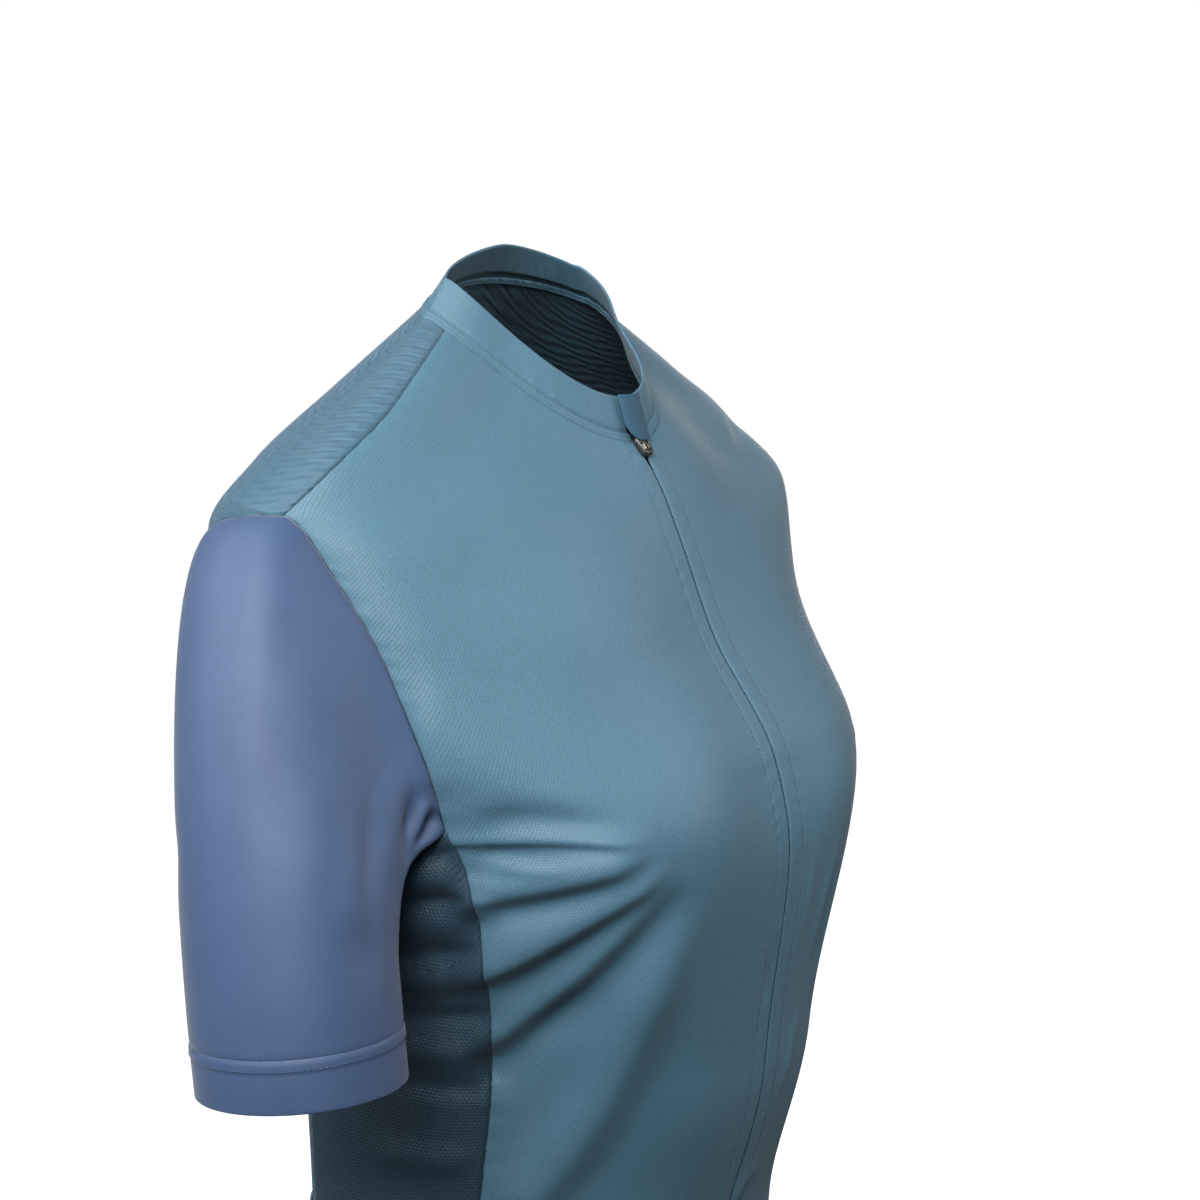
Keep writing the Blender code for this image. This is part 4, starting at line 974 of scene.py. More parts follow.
sleeve_lycra = lycra("sleeve_lycra", SLEEVE_LIGHT, SLEEVE_SHADE, roughness=0.56, sheen=0.25)
cuff_lines = []
for row in SLEEVES:
    sleeve = dict(zip(SLEEVE_COLUMNS, row))
    side = sleeve["side"]
    side_name = "left" if side > 0 else "right"
    rings, turns = sleeve_grid(sleeve)
    upper = rings[:SLEEVE_ROWS + 1]
    normals = tube_normals(upper, side)
    lift = fold_relief(upper.reshape(-1, 3), normals.reshape(-1, 3), SLEEVE_FOLDS,
                       on_tube(upper, turns)).reshape(upper.shape[:2])
    down = lengths(upper, 0)
    around = lengths(upper, 1)
    lift -= ARM_SEAM_DIP * bell(down, SEAM_DIP_WIDTH)
    lift -= SEAM_DIP * bell(down[-1:] - down, SEAM_DIP_WIDTH)
    wave = ARM_SEAM_PUCKER * ripple(around, SEAM_PUCKER_STEP)
    lift += wave * bell(down, SEAM_PUCKER_REACH)
    upper = (upper + normals * lift[..., None])[::-1, ::-side]
    piece = sew_mesh(f"sleeve_{side_name}_lycra", upper, sleeve_lycra, CLOTH_WALL, tube=True)
    over_node(piece, "sleeve_" + side_name)

    band = rings[SLEEVE_ROWS - 1:]
    normals = tube_normals(band, side)
    down = lengths(band, 0)
    down = down - down[1:2]
    lift = CUFF_RIDGE_RISE * smooth_step((CUFF_RIDGE_END - down) / CUFF_RIDGE_SLOPE)
    lift -= CUFF_GROOVE * bell(down - CUFF_RIDGE_END, CUFF_GROOVE_WIDTH)
    lift -= CUFF_SEAM_DIP * bell(down, CUFF_SEAM_WIDTH)
    lift[0] = -CLOTH_WALL / 2
    outer = band + normals * lift[..., None]
    turned = []
    last_step = unit(band[-1] - band[-2])
    for fold_turn in np.linspace(0, np.pi, CUFF_FOLD_STEPS)[1:]:
        inward = normals[-1] * (np.cos(fold_turn) - 1) * CUFF_FOLD / 2
        turned.append(band[-1] + inward + last_step * np.sin(fold_turn) * CUFF_FOLD / 2)
    inner = (band - normals * CUFF_FOLD)[-2:2:-2]
    cuff_grid = np.concatenate([outer, np.array(turned), inner])[::-1, ::-side]
    piece = sew_mesh(f"cuff_{side_name}_lycra", cuff_grid, sleeve_lycra, 0, tube=True)
    over_node(piece, "cuff_" + side_name)
    stitch_row = nearest(down[:, 0], CUFF_STITCH)
    line = outer[stitch_row] + normals[stitch_row] * CUFF_STITCH_OUT
    cuff_lines.append(np.vstack([line, line[:1]]))

# ---------------------------------------------------------------- the collar
# A low band of the front's knit, folded double and 20 mm high, stands on the neck seam. A
# corded seam and a row of topstitching run round its foot.

COLLAR_HEIGHT = 0.020
COLLAR_LEAN = 0.25
COLLAR_LEAN_BEHIND = 0.62
COLLAR_LEAN_TURN = 1.2
COLLAR_WALL = 0.0003
COLLAR_EDGE_STEPS = (0.0050, 0.0056, 0.0066, 0.0080, 0.0100, 0.0120)
COLLAR_FRONT_COLUMNS = 60
COLLAR_ROWS = 24
COLLAR_FOLD = 0.0013
COLLAR_FOLD_STEPS = 8
NECK_CENTRE_Y = -0.018

# Its foot laps over the panels and tucks in behind them, under a cord and a stitched groove.
COLLAR_TUCK = 0.0030
COLLAR_TUCK_IN = 0.0014
COLLAR_LAP = 0.0006
COLLAR_LAP_OUT = 0.0013
COLLAR_FOOT_RISE = 0.0005
COLLAR_CORD = 0.0013
COLLAR_CORD_RISE = 0.0008
COLLAR_CORD_WIDTH = 0.0007
COLLAR_STITCH = 0.0034
COLLAR_GROOVE = 0.0008
COLLAR_WAVE = 0.00022
COLLAR_WAVE_STEP = 0.0096
COLLAR_WAVE_AT = 0.006


def collar_base(angle):
    """Foot of the collar, the way it rises and the way it faces, at each column."""
    base = cloth(angle, 1.0)
    centre = np.stack([0 * angle, 0 * angle + NECK_CENTRE_Y, base[:, 2]], axis=-1)
    inward = unit(centre - base)
    behind = smooth_step((1 - np.cos(np.radians(angle))) / COLLAR_LEAN_TURN)[:, None]
    lean = COLLAR_LEAN + (COLLAR_LEAN_BEHIND - COLLAR_LEAN) * behind
    upright = np.sqrt(1 - lean ** 2)
    up = np.array([0.0, 0.0, 1.0])
    return base, inward * lean + up * upright, unit(up * lean - inward * upright)


near = angle_at_x(np.array(COLLAR_EDGE_STEPS), 1.0)
to_yoke = near[-1] + (YOKE[0][-1] - near[-1]) * np.linspace(0, 1, COLLAR_FRONT_COLUMNS)[1:]
half = np.concatenate([near, to_yoke, back_angle[-1, 1:HALF_BACK_COLUMNS + 1]])
base, rise, out = collar_base(np.concatenate([half, 360 - half[-2::-1]]))

# The band's section, as heights up it and distances out: foot, outer face, fold, inner face.
heights = np.linspace(0.0, COLLAR_HEIGHT - COLLAR_FOLD / 2, COLLAR_ROWS)
relief = COLLAR_CORD_RISE * bell(heights - COLLAR_CORD, COLLAR_CORD_WIDTH)
relief -= COLLAR_GROOVE * bell(heights - COLLAR_STITCH, COLLAR_CORD_WIDTH)
relief += COLLAR_FOOT_RISE * bell(heights, COLLAR_FOOT_RISE)
over = COLLAR_FOLD / 2
fold_turn = np.linspace(0, np.pi, COLLAR_FOLD_STEPS)[1:]
inner = heights[-2:2:-2]
profile = np.vstack([
    [(-COLLAR_TUCK, -COLLAR_TUCK_IN), (-COLLAR_LAP, COLLAR_LAP_OUT)],
    np.column_stack([heights, relief]),
    np.column_stack([heights[-1] + over * np.sin(fold_turn), over * (np.cos(fold_turn) - 1)]),
    np.column_stack([inner, np.full(len(inner), -COLLAR_FOLD)]),
])
wave = COLLAR_WAVE * ripple(lengths(base[None], 1)[0], COLLAR_WAVE_STEP)
wave = wave * bell(profile[:, :1] - COLLAR_WAVE_AT, COLLAR_WAVE_AT)
collar_grid = base + profile[:, :1, None] * rise + (profile[:, 1:] + wave)[..., None] * out
collar_knit = mesh_knit("collar_pinhole_knit", **FRONT_LOOK)
collar = sew_mesh("collar_knit_band", collar_grid, collar_knit, COLLAR_WALL)
over_node(collar, "collar")

# ---------------------------------------------------------------- the zip's tapes and coil
# A nylon coil zip runs the whole front. Its woven tapes are sewn behind the fronts' turned
# edges, which nearly close over the coil.

TAPE_EDGES = (0.0024, 0.0034, 0.0044, 0.0060, 0.0076, 0.0092, 0.0106)
TAPE_DEPTH = 0.0016
TAPE_WALL = 0.0006
TAPE_BLACK = (0.014, 0.017, 0.022)
TAPE_GREY = (0.030, 0.036, 0.044)
TWILL_PITCH = 0.0009
TWILL_WIDTH = 0.0016
TWILL_SLANT = 0.0012
TWILL_RELIEF = 0.00012
TEETH_DEPTH = 0.0020
TEETH_STEP = 0.00125
TEETH_OFFSET = 0.0009
TOOTH_HALF_SIZE = (0.0013, 0.00075, 0.00046)
FIRST_TOOTH_SHIFT = 0.4
COIL_LIGHT = (0.020, 0.023, 0.028)
COIL_DARK = (0.008, 0.009, 0.011)
BEAD_SEGMENTS = 6
BEAD_RINGS = 4
ZIP_LEVELS = np.linspace(0.0, 1.0, 380)
ZIP_IN_COLLAR = np.linspace(0.0006, COLLAR_HEIGHT - 0.0012, 18)[:, None]


def zip_strip(x, depth):
    """A line behind the fronts at a distance from the middle, carried up the collar."""
    angle = angle_at_x(x, ZIP_LEVELS)
    lower = cloth(angle, ZIP_LEVELS) - outward(body_form, angle, ZIP_LEVELS) * depth
    base, rise, out = collar_base(angle[-1:])
    return np.vstack([lower, base - out * depth + ZIP_IN_COLLAR * rise])


tape_weave, shader, across, up = fabric("zip_tape_weave", roughness=0.72, sheen=0.10)
herringbone = ribs(up + (across / TWILL_WIDTH).use("PINGPONG", 1.0) * TWILL_SLANT, TWILL_PITCH)
colour_by(shader, herringbone, TAPE_BLACK, TAPE_GREY)
raise_by(shader, herringbone, TWILL_RELIEF)
for side, name in ((-1, "right"), (1, "left")):
    xs = [side * x for x in TAPE_EDGES][::side]
    grid = np.stack([zip_strip(x, TAPE_DEPTH) for x in xs], axis=1)
    piece = sew_mesh("zip_tape_" + name + "_weave", grid, tape_weave, TAPE_WALL)
    over_node(piece, "zip_tape_" + name)

# The nodes that set beads along lines, and the sockets that each link joins.
BEAD_INPUTS = (
    ("Geometry", "Geometry"), ("Step", "Float"), ("Half size", "Vector"), ("Material", "Material"),
)
BEAD_NODES = {
    "start": "NodeGroupInput", "end": "NodeGroupOutput", "line": "GeometryNodeMeshToCurve",
    "stops": "GeometryNodeResampleCurve", "bead": "GeometryNodeMeshUVSphere",
    "tangent": "GeometryNodeInputTangent", "turn": "FunctionNodeAlignRotationToVector",
    "place": "GeometryNodeInstanceOnPoints", "solid": "GeometryNodeRealizeInstances",
    "smooth": "GeometryNodeSetShadeSmooth", "dress": "GeometryNodeSetMaterial",
}
BEAD_LINKS = (
    ("start", "Geometry", "line", "Mesh"), ("line", "Curve", "stops", "Curve"),
    ("start", "Step", "stops", "Length"), ("tangent", "Tangent", "turn", "Vector"),
    ("stops", "Curve", "place", "Points"), ("bead", "Mesh", "place", "Instance"),
    ("turn", "Rotation", "place", "Rotation"), ("start", "Half size", "place", "Scale"),
    ("place", "Instances", "solid", "Geometry"), ("solid", "Geometry", "smooth", "Geometry"),
    ("smooth", "Geometry", "dress", "Geometry"), ("start", "Material", "dress", "Material"),
    ("dress", "Geometry", "end", "Geometry"),
)


def bead_nodes(name, aligned):
    """Nodes that set a small rounded bead at even steps along every line of a mesh."""
    tree = bpy.data.node_groups.new(name, "GeometryNodeTree")
    for label, kind in BEAD_INPUTS:
        tree.interface.new_socket(label, in_out="INPUT", socket_type="NodeSocket" + kind)
    tree.interface.new_socket("Geometry", in_out="OUTPUT", socket_type="NodeSocketGeometry")
    made = {key: tree.nodes.new(kind) for key, kind in BEAD_NODES.items()}
    made["stops"].mode = "LENGTH"
    made["turn"].axis = "Z"
    sizes = {"Segments": BEAD_SEGMENTS, "Rings": BEAD_RINGS, "Radius": 1.0}
    for label, value in sizes.items():
        made["bead"].inputs[label].default_value = value
    for source, output, target, label in BEAD_LINKS:
        tree.links.new(made[source].outputs[output], made[target].inputs[label])
    if aligned:
        level = tree.nodes.new("FunctionNodeAlignRotationToVector")
        level.axis = "X"
        level.pivot_axis = "Z"
        level.inputs["Vector"].default_value = (1.0, 0.0, 0.0)
        tree.links.new(made["turn"].outputs["Rotation"], level.inputs["Rotation"])
        tree.links.new(level.outputs["Rotation"], made["place"].inputs["Rotation"])
    return tree


def beads_along(name, tree, lines, step, half_size, look):
    """One plain mesh of the beads that the nodes set along some lines."""
    ends = np.cumsum([len(line) for line in lines])
    edges = [(k, k + 1) for k in range(ends[-1] - 1) if k + 1 not in ends]
    guide_mesh = bpy.data.meshes.new(name + "_guide")
    guide_mesh.from_pydata(np.vstack(lines).tolist(), edges, [])
    guide = add_object(name + "_guide", guide_mesh)
    setter = guide.modifiers.new("beads", "NODES")
    setter.node_group = tree
    values = {"Step": step, "Half size": half_size, "Material": look}
    for socket in tree.interface.items_tree:
        if socket.in_out == "INPUT" and socket.name in values:
            setter[socket.identifier] = values[socket.name]
    bpy.context.view_layer.update()
    graph = bpy.context.evaluated_depsgraph_get()
    made = bpy.data.meshes.new_from_object(guide.evaluated_get(graph), depsgraph=graph)
    made.name = name
    bpy.data.objects.remove(guide)
    return add_object(name, made)


def hard_finish(name, light, dark, roughness, grain, depth, metallic=0.0):
    """A hard material with fine mottling and a slight relief."""
    look = bpy.data.materials.new(name)
    look.use_nodes = True
    shader = look.node_tree.nodes["Principled BSDF"]
    shader.inputs["Roughness"].default_value = roughness
    shader.inputs["Metallic"].default_value = metallic
    mottle = cloudy(look.node_tree, grain, 4.0)
    colour_by(shader, mottle, dark, light, clouds=0.08)
    raise_by(shader, mottle, depth)
    return look


coil_nylon = hard_finish("zip_coil_nylon", COIL_LIGHT, COIL_DARK,
                         roughness=0.38, grain=2400.0, depth=0.00004)
tooth_tree = bead_nodes("zip_teeth", aligned=True)
left_line = zip_strip(TEETH_OFFSET, TEETH_DEPTH)
right_line = zip_strip(-TEETH_OFFSET, TEETH_DEPTH)
right_line[0] += (right_line[1] - right_line[0]) * FIRST_TOOTH_SHIFT
teeth = beads_along("zip_coil_teeth", tooth_tree, [left_line, right_line], TEETH_STEP,
                    TOOTH_HALF_SIZE, coil_nylon)
over_node(teeth, "zip_coil")

# ---------------------------------------------------------------- the slider and its pull
# A small gunmetal slider is parked at the top of the zip. Two wells flank the bridge that
# holds its pull, and the pull lies up behind the garage.

SLIDER_WIDTH = 0.0085
SLIDER_FOOT_WIDTH = 0.0066
SLIDER_LENGTH = 0.0100
SLIDER_THICKNESS = 0.0030
SLIDER_LIFT = 0.0003
SLIDER_COLUMNS = 37
SLIDER_ROWS = 41

# Shape of its face: shares of the half width and half length, and powers of rounding.
SLIDER_TAPER = 1.6
SLIDER_ENDS_IN = 0.30
SLIDER_ENDS_POWER = 7
SLIDER_RIM_SHARE = 0.65
SLIDER_RIM_POWER = 8
SLIDER_RIM_ROUND = 0.40
WELL_DEPTH = 0.0014
WELL_ASIDE = 0.56
WELL_BELOW = 0.10
WELL_HALF_WIDTH = 0.20
WELL_HALF_HEIGHT = 0.34
WELL_POWER = 6

BRIDGE_WIDTH = 0.0022
BRIDGE_HEIGHT = 0.0012
BRIDGE_THICKNESS = 0.0008
BRIDGE_ENDS = (-0.0088, -0.0034)
BRIDGE_SINK = 0.0006
BRIDGE_ARCH_POWER = 0.55
BRIDGE_SQUARE = 0.55
BRIDGE_STEPS = 15
BRIDGE_SIDES = 12
PULL_WIDTH = 0.0046
PULL_LENGTH = 0.0130
PULL_THICKNESS = 0.0010
PULL_FOOT = 0.0006
PULL_OUT = 0.0008
PULL_SLOT_WIDTH = 0.0022
PULL_SLOT_LENGTH = 0.0050
PULL_SLOT_UP = 0.0038
PULL_SIDES = 40
PULL_RIM = 0.06
PULL_LIP = 0.10
PULL_EDGE = 0.55
PULL_SLOT_EDGE = 0.50
ZIP_HEAD_LEVELS = (0.975, 0.995)
GUNMETAL_LIGHT = (0.160, 0.156, 0.146)
GUNMETAL_DARK = (0.050, 0.049, 0.046)

zip_head = body_form(0.0, 1.0)
front_run = unit(body_form(0.0, ZIP_HEAD_LEVELS[1]) - body_form(0.0, ZIP_HEAD_LEVELS[0]))
collar_run = np.array([0.0, COLLAR_LEAN, np.sqrt(1 - COLLAR_LEAN ** 2)])
collar_out = np.array([0.0, -collar_run[2], collar_run[1]])


def laid_on_zip(points, run):
    """Points given as across, up the zip and outwards, placed at the zip's head."""
    points = np.asarray(points)
    normal = np.cross(np.array([1.0, 0.0, 0.0]), run)
    across = points[..., :1] * np.array([1.0, 0.0, 0.0])
    return zip_head + across + points[..., 1:2] * run + points[..., 2:3] * normal


def hard_piece(name, points, faces, look):
    """A hard piece from its points and faces."""
    mesh = bpy.data.meshes.new(name)
    mesh.from_pydata(points.tolist(), [], faces)
    mesh.materials.append(look)
    mesh.shade_smooth()
    return add_object(name, mesh)


def grid_faces(rows, columns, first=0, wrap=False):
    """Faces between neighbouring points of a grid."""
    faces = []
    for r in range(rows - 1):
        for c in range(columns if wrap else columns - 1):
            here = first + r * columns + c
            beside = first + r * columns + (c + 1) % columns
            faces.append((here, beside, beside + columns, here + columns))
    return faces


gunmetal = hard_finish("slider_gunmetal", GUNMETAL_LIGHT, GUNMETAL_DARK,
                       roughness=0.36, grain=1800.0, depth=0.00005, metallic=0.85)

# The slider's body: a face with its two wells over a flat foot, and walls round the two.
u, v = np.meshgrid(np.linspace(-1, 1, SLIDER_COLUMNS), np.linspace(-1, 1, SLIDER_ROWS))
widen = smooth_step((v + 1) / SLIDER_TAPER)
x = u / 2 * (SLIDER_FOOT_WIDTH + (SLIDER_WIDTH - SLIDER_FOOT_WIDTH) * widen)
x = x * (1 - SLIDER_ENDS_IN * np.abs(v) ** SLIDER_ENDS_POWER)
y = (v - 1) * SLIDER_LENGTH / 2
rim = (1 - np.abs(u) ** SLIDER_RIM_POWER) * (1 - np.abs(v) ** SLIDER_RIM_POWER)
rim = np.clip(rim, 0, 1) ** SLIDER_RIM_ROUND
well = (np.abs(np.abs(u) - WELL_ASIDE) / WELL_HALF_WIDTH) ** WELL_POWER
well = np.exp(-well - (np.abs(v + WELL_BELOW) / WELL_HALF_HEIGHT) ** WELL_POWER)
face = SLIDER_LIFT + SLIDER_THICKNESS * (1 - SLIDER_RIM_SHARE + SLIDER_RIM_SHARE * rim)
face = face - WELL_DEPTH * well
body = np.array([[x, y, face], [x, y, 0 * x + SLIDER_LIFT]]).transpose(0, 2, 3, 1)
index = np.arange(x.size).reshape(x.shape)
faces = grid_faces(*x.shape)
faces += [f[::-1] for f in grid_faces(*x.shape, first=x.size)]
ring = np.concatenate([index[0], index[1:, -1], index[-1, -2::-1], index[-2:0:-1, 0]]).tolist()
faces += [(a, a + x.size, b + x.size, b) for a, b in zip(ring, ring[1:] + ring[:1])]

# The bridge over them: a squared bar that arches from end to end.
t = np.linspace(0, 1, BRIDGE_STEPS)[:, None]
turn = np.linspace(0, 2 * np.pi, BRIDGE_SIDES, endpoint=False)
square = 1 / np.maximum(np.abs(np.cos(turn)), np.abs(np.sin(turn)))
square = 1 + BRIDGE_SQUARE * (square - 1)
arch = (BRIDGE_HEIGHT + BRIDGE_SINK) * np.sin(np.pi * t) ** BRIDGE_ARCH_POWER
arch = arch + SLIDER_LIFT + SLIDER_THICKNESS - BRIDGE_SINK
bar = np.broadcast_arrays(
    BRIDGE_WIDTH / 2 * np.cos(turn) * square,
    BRIDGE_ENDS[0] + (BRIDGE_ENDS[1] - BRIDGE_ENDS[0]) * t,
    arch + BRIDGE_THICKNESS / 2 * (np.sin(turn) * square - 1))
points = np.vstack([body.reshape(-1, 3), np.stack(bar, axis=-1).reshape(-1, 3)])
first = 2 * x.size
last = len(points) - BRIDGE_SIDES
faces += [f[::-1] for f in grid_faces(BRIDGE_STEPS, BRIDGE_SIDES, first, wrap=True)]
faces += [tuple(range(first, first + BRIDGE_SIDES)), tuple(range(last, len(points)))[::-1]]
slider = hard_piece("zip_slider_metal", laid_on_zip(points, front_run), faces, gunmetal)
over_node(slider, "zip_slider")


def rounded_ring(width, length, centre):
    """Points of a rounded oblong, turning from its right."""
    turn = np.linspace(0, 2 * np.pi, PULL_SIDES, endpoint=False)
    radius = width / 2
    straight = length / 2 - radius
    x = radius * np.cos(turn)
    y = radius * np.sin(turn) + straight * np.sign(np.round(np.sin(turn), 6))
    return np.stack([x, y + centre], axis=-1)


# The pull: loops of points round its outer edge and round its slot, front face to front face.
outer = rounded_ring(PULL_WIDTH, PULL_LENGTH, PULL_FOOT + PULL_LENGTH / 2)
inner = rounded_ring(PULL_SLOT_WIDTH, PULL_SLOT_LENGTH, PULL_FOOT + PULL_SLOT_UP)
rim = outer + (inner - outer) * PULL_RIM
lip = inner + (outer - inner) * PULL_LIP
half = PULL_THICKNESS / 2
loops = (
    (rim, half), (outer, half * PULL_EDGE), (outer, -half * PULL_EDGE), (rim, -half),
    (lip, -half), (inner, -half * PULL_SLOT_EDGE), (inner, half * PULL_SLOT_EDGE), (lip, half),
)
points = np.concatenate([
    np.column_stack([ring, np.full(PULL_SIDES, PULL_OUT + level)]) for ring, level in loops])
faces = [f[::-1] for f in grid_faces(len(loops), PULL_SIDES, wrap=True)]
last = len(points) - PULL_SIDES
for k in range(PULL_SIDES):
    beside = (k + 1) % PULL_SIDES
    faces.append((last + beside, last + k, k, beside))
pull = hard_piece("zip_pull_metal", laid_on_zip(points, collar_run), faces, gunmetal)
over_node(pull, "zip_pull")

# ---------------------------------------------------------------- the zip garage
# A soft tab of smooth knit, sewn over the collar's left edge, arches over the slider's head
# and pull so that they don't rub the chin. Its free lower corner is rounded.

GARAGE_RIGHT = -0.0090
GARAGE_LEFT = 0.0080
GARAGE_DROP = 0.0015
GARAGE_CORNER = 0.0080
GARAGE_WALL = 0.0010
GARAGE_AT_RIGHT = 0.0022
GARAGE_AT_LEFT = 0.00145
GARAGE_ARCH_LOW = 0.0030
GARAGE_ARCH_TOP = 0.0022
GARAGE_SQUARE = 0.36
GARAGE_COLUMNS = 49
GARAGE_ROWS = 33
GARAGE_EDGE_ROUND = 0.0003
GARAGE_LIGHT = (0.026, 0.092, 0.152)
GARAGE_SHADE = (0.021, 0.078, 0.130)

share = np.sin(np.linspace(-np.pi / 2, np.pi / 2, GARAGE_COLUMNS)) * 0.5 + 0.5
x = GARAGE_RIGHT + (GARAGE_LEFT - GARAGE_RIGHT) * share
corner = np.clip(GARAGE_RIGHT + GARAGE_CORNER - x, 0, None)
foot = GARAGE_CORNER - np.sqrt(GARAGE_CORNER ** 2 - corner ** 2) - GARAGE_DROP
up = foot + (COLLAR_HEIGHT - foot) * np.linspace(0, 1, GARAGE_ROWS)[:, None]
arch = np.clip(np.sin(np.pi * share), 0, 1) ** GARAGE_SQUARE
rest = GARAGE_AT_RIGHT + (GARAGE_AT_LEFT - GARAGE_AT_RIGHT) * share
height_share = (up + GARAGE_DROP) / (COLLAR_HEIGHT + GARAGE_DROP)
stand = rest + arch * (GARAGE_ARCH_LOW + (GARAGE_ARCH_TOP - GARAGE_ARCH_LOW) * height_share)
neck_line = body_form(angle_at_x(x, 1.0), 1.0)
garage_grid = neck_line + up[..., None] * collar_run + stand[..., None] * collar_out
garage_lycra = lycra("garage_lycra", GARAGE_LIGHT, GARAGE_SHADE, roughness=0.72, sheen=0.1)
garage = sew_mesh("zip_garage_tab", garage_grid, garage_lycra, GARAGE_WALL)
soften = garage.modifiers.new("edges", "BEVEL")
soften.width = GARAGE_EDGE_ROUND
soften.segments = 2
soften.angle_limit = 1.0
over_node(garage, "zip_garage")

# ---------------------------------------------------------------- the topstitching
# Spun polyester thread: one row along each front's turned edge, one round the collar's foot,
# one round each cuff, and those of the pockets and the hem. On the fronts, collar and pockets
# its colour is darker than the cloth's, painted shade for the shadow of the stitches.

THREAD_RADIUS = 0.00016
THREAD_OUT = THREAD_RADIUS * 0.4
STITCH_STEP = 0.0026
STITCH_HALF_SIZE = (THREAD_RADIUS, THREAD_RADIUS, 0.00108)
# Thread of the fronts, collar and pockets: darker than the cloth, painted shade for the shadow of
# the stitches.
THREAD_LIGHT_AND_PAINTED_SHADE = (0.050, 0.120, 0.178)
THREAD_DARK_AND_PAINTED_SHADE = (0.036, 0.090, 0.140)
CUFF_THREAD_LIGHT = (0.085, 0.140, 0.262)
CUFF_THREAD_DARK = (0.060, 0.105, 0.205)
THREAD_LOOK = dict(roughness=0.6, grain=3000.0, depth=0.00005)
HEM_STITCH = 0.0150
FRONT_HEM_COLUMN = 30
PLACKET_STITCHES = PLACKET_STEPS.index(PLACKET)
POCKET_HEM_COLUMN = 60

thread = hard_finish("topstitch_thread_and_painted_shade", THREAD_LIGHT_AND_PAINTED_SHADE, THREAD_DARK_AND_PAINTED_SHADE, **THREAD_LOOK)
cuff_thread = hard_finish("cuff_thread", CUFF_THREAD_LIGHT, CUFF_THREAD_DARK, **THREAD_LOOK)
stitch_tree = bead_nodes("stitch_row", aligned=False)


def on_top(grid, pick):
    """A line of a panel's points, lifted so that the thread lies half in the cloth."""
    return (grid + grid_normals(grid) * THREAD_OUT)[pick]


front_lines = []
for side, grid in front_grids.items():
    column = PLACKET_STITCHES if side > 0 else -1 - PLACKET_STITCHES
    front_lines.append(on_top(grid, (slice(2, None), column)))
    hem_row = nearest(lengths(grid, 0)[:, FRONT_HEM_COLUMN], HEM_STITCH)
    front_lines.append(on_top(grid, (hem_row, slice(1, -1))))
collar_row = nearest(profile[:COLLAR_ROWS, 0], COLLAR_STITCH)
collar_line = collar_grid[collar_row, 1:-1] + out[1:-1] * THREAD_OUT
pocket_lines = [on_top(pocket_grid, (slice(1, -1), column)) for column in pocket_columns]
up = pocket_up[:, POCKET_HEM_COLUMN]
for stitched_up in (up[-1] - POCKET_HEM, HEM_STITCH):
    pocket_lines.append(on_top(pocket_grid, (nearest(up, stitched_up), slice(1, -1))))
groups = (
    ("front_topstitches", front_lines, thread, "front_mesh"),
    ("collar_topstitches", [collar_line], thread, "collar_knit"),
    ("pocket_topstitches", pocket_lines, thread, "back_jacquard"),
    ("cuff_topstitches", cuff_lines, cuff_thread, "sleeve_lycra"),
)
for name, lines, look, slot in groups:
    row = beads_along(name, stitch_tree, lines, STITCH_STEP, STITCH_HALF_SIZE, look)
    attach(row, "root")

# ---------------------------------------------------------------- the studio
# A white floor well below the jersey and a white surround, which hardly light the cloth. A
# broad soft light stands over the wearer's right shoulder, with a small one on the chest, a
# weaker one in front on the left, and a low one behind on the left.

FLOOR_Z = -1.15
FLOOR_SIZE = 60.0
FLOOR_WHITE = (0.92, 0.92, 0.92)
CAMERA_AZIMUTH = -56.56
CAMERA_ELEVATION = 9.20
CAMERA_ROLL = -0.75
CAMERA_DISTANCE = 1.5616
CAMERA_TARGET = (0.0128, -0.040, -0.1293)
CAMERA_LENS = 100.7
BODY_TARGET = (0.0, -0.02, -0.15)
CHEST_TARGET = (-0.08, -0.13, -0.07)
SURROUND_ON_CLOTH = 0.025

# The lights: angles, distance, size, strength in watts, and how widely each shines.
LIGHT_COLUMNS = (
    "name", "target", "azimuth", "elevation", "distance", "wide", "high", "power", "spread",
)
LIGHTS = (
    ("key_light", BODY_TARGET, -106, 42, 1.8, 3.2, 1.3, 66.0, 180),
    ("chest_light", CHEST_TARGET, -62, 30, 1.7, 0.9, 0.7, 1.9, 40),
    ("front_light", BODY_TARGET, 32, 24, 1.8, 1.2, 1.2, 14.0, 180),
    ("rim_light", BODY_TARGET, 122, 0, 1.8, 1.2, 1.2, 10.5, 180),
)

floor_mesh = bpy.data.meshes.new("studio_floor")
corners = ((-0.5, -0.5), (0.5, -0.5), (0.5, 0.5), (-0.5, 0.5))
corners = [(x * FLOOR_SIZE, y * FLOOR_SIZE, FLOOR_Z) for x, y in corners]
floor_mesh.from_pydata(corners, [], [(0, 1, 2, 3)])
floor = add_object("studio_floor", floor_mesh)
floor_look = bpy.data.materials.new("studio_floor_white")
floor_look.use_nodes = True
floor_shader = floor_look.node_tree.nodes["Principled BSDF"]
floor_shader.inputs["Base Color"].default_value = (*FLOOR_WHITE, 1.0)
floor_shader.inputs["Roughness"].default_value = 0.9
floor_shader.inputs["Emission Color"].default_value = (1.0, 1.0, 1.0, 1.0)
floor_shader.inputs["Emission Strength"].default_value = 1.0
floor_mesh.materials.append(floor_look)
floor.visible_diffuse = False
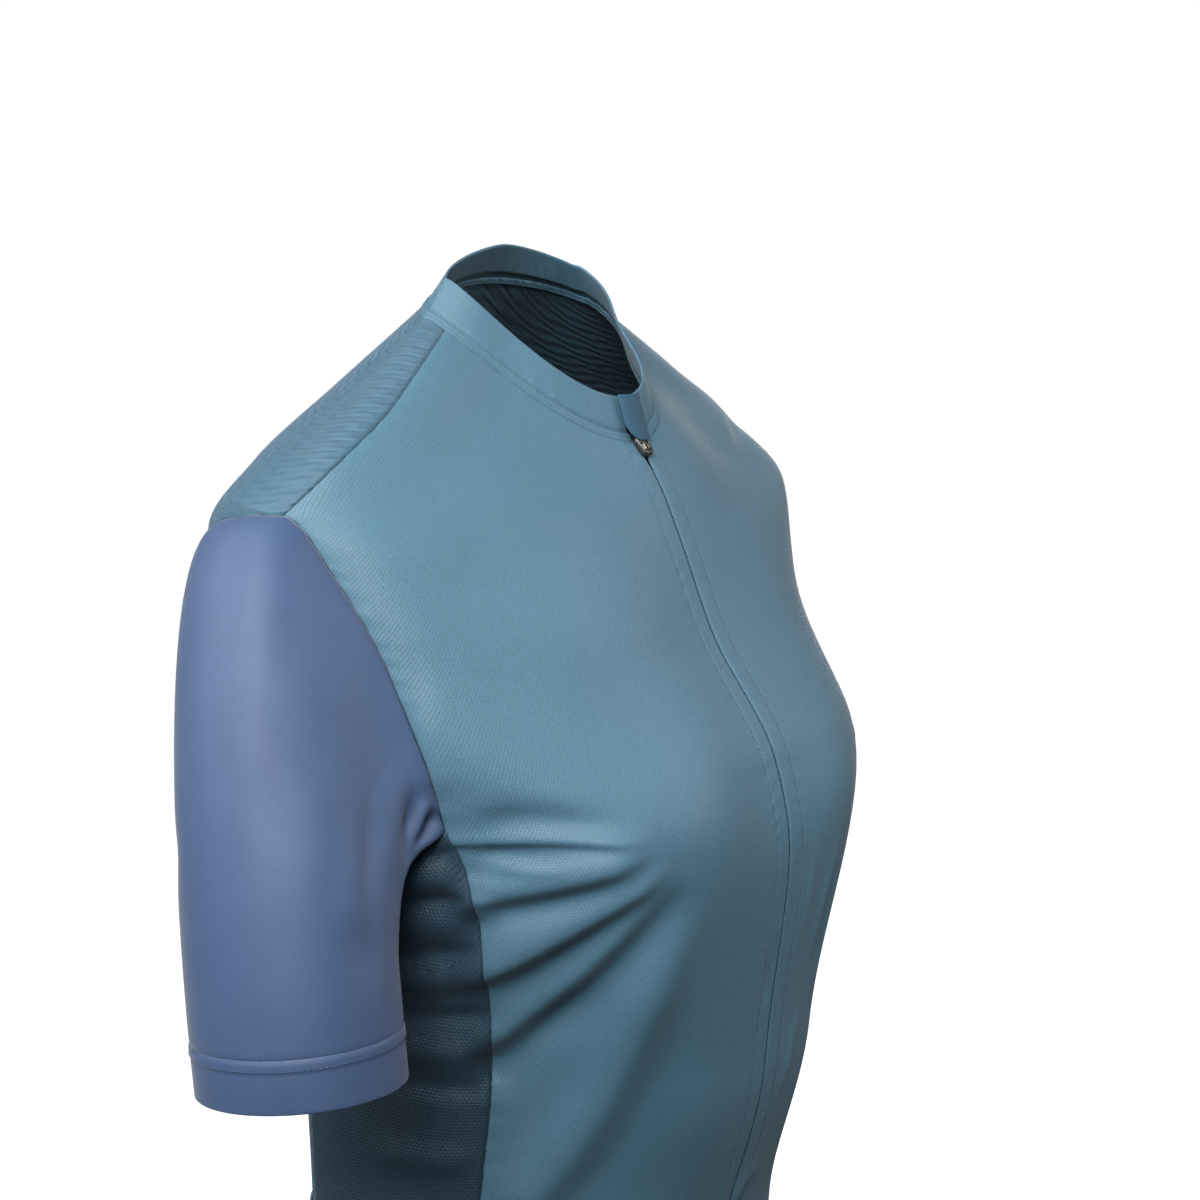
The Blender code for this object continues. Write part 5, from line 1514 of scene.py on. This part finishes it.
floor.visible_glossy = False

world = bpy.data.worlds.new("studio")
world.use_nodes = True
surround = world.node_tree
background = surround.nodes["Background"]
background.inputs["Color"].default_value = (1.0, 1.0, 1.0, 1.0)
rays = surround.nodes.new("ShaderNodeLightPath")
strength = surround.nodes.new("ShaderNodeMapRange")
strength.inputs["To Min"].default_value = SURROUND_ON_CLOTH
strength.inputs["To Max"].default_value = 1.0
surround.links.new(rays.outputs["Is Camera Ray"], strength.inputs["Value"])
surround.links.new(strength.outputs[0], background.inputs["Strength"])
bpy.context.scene.world = world


def toward(azimuth, elevation):
    """Direction from the jersey to a place round it and above it, in degrees."""
    turn = np.radians(azimuth)
    rise = np.radians(elevation)
    return np.array([np.sin(turn) * np.cos(rise), -np.cos(turn) * np.cos(rise), np.sin(rise)])


for row in LIGHTS:
    light = dict(zip(LIGHT_COLUMNS, row))
    softbox = bpy.data.lights.new(light["name"], "AREA")
    softbox.shape = "RECTANGLE"
    softbox.size = light["wide"]
    softbox.size_y = light["high"]
    softbox.spread = np.radians(light["spread"])
    softbox.energy = light["power"]
    lamp = add_object(light["name"], softbox)
    away = Vector(toward(light["azimuth"], light["elevation"])) * light["distance"]
    facing = (-away).to_track_quat("-Z", "Y").to_matrix().to_4x4()
    lamp.matrix_world = Matrix.Translation(Vector(light["target"]) + away) @ facing

camera_data = bpy.data.cameras.new("camera")
camera_data.lens = CAMERA_LENS
camera_data.clip_start = 0.01
camera = add_object("camera", camera_data)
back = toward(CAMERA_AZIMUTH, CAMERA_ELEVATION)
right = toward(CAMERA_AZIMUTH + 90, 0)
above = np.cross(back, right)
roll = np.radians(CAMERA_ROLL)
turned_right = np.cos(roll) * right + np.sin(roll) * above
turned_up = -np.sin(roll) * right + np.cos(roll) * above
axes = Matrix((turned_right, turned_up, back)).transposed().to_4x4()
camera.matrix_world = Matrix.Translation(Vector(CAMERA_TARGET + back * CAMERA_DISTANCE)) @ axes
bpy.context.scene.camera = camera
bpy.context.scene.view_settings.view_transform = "Standard"
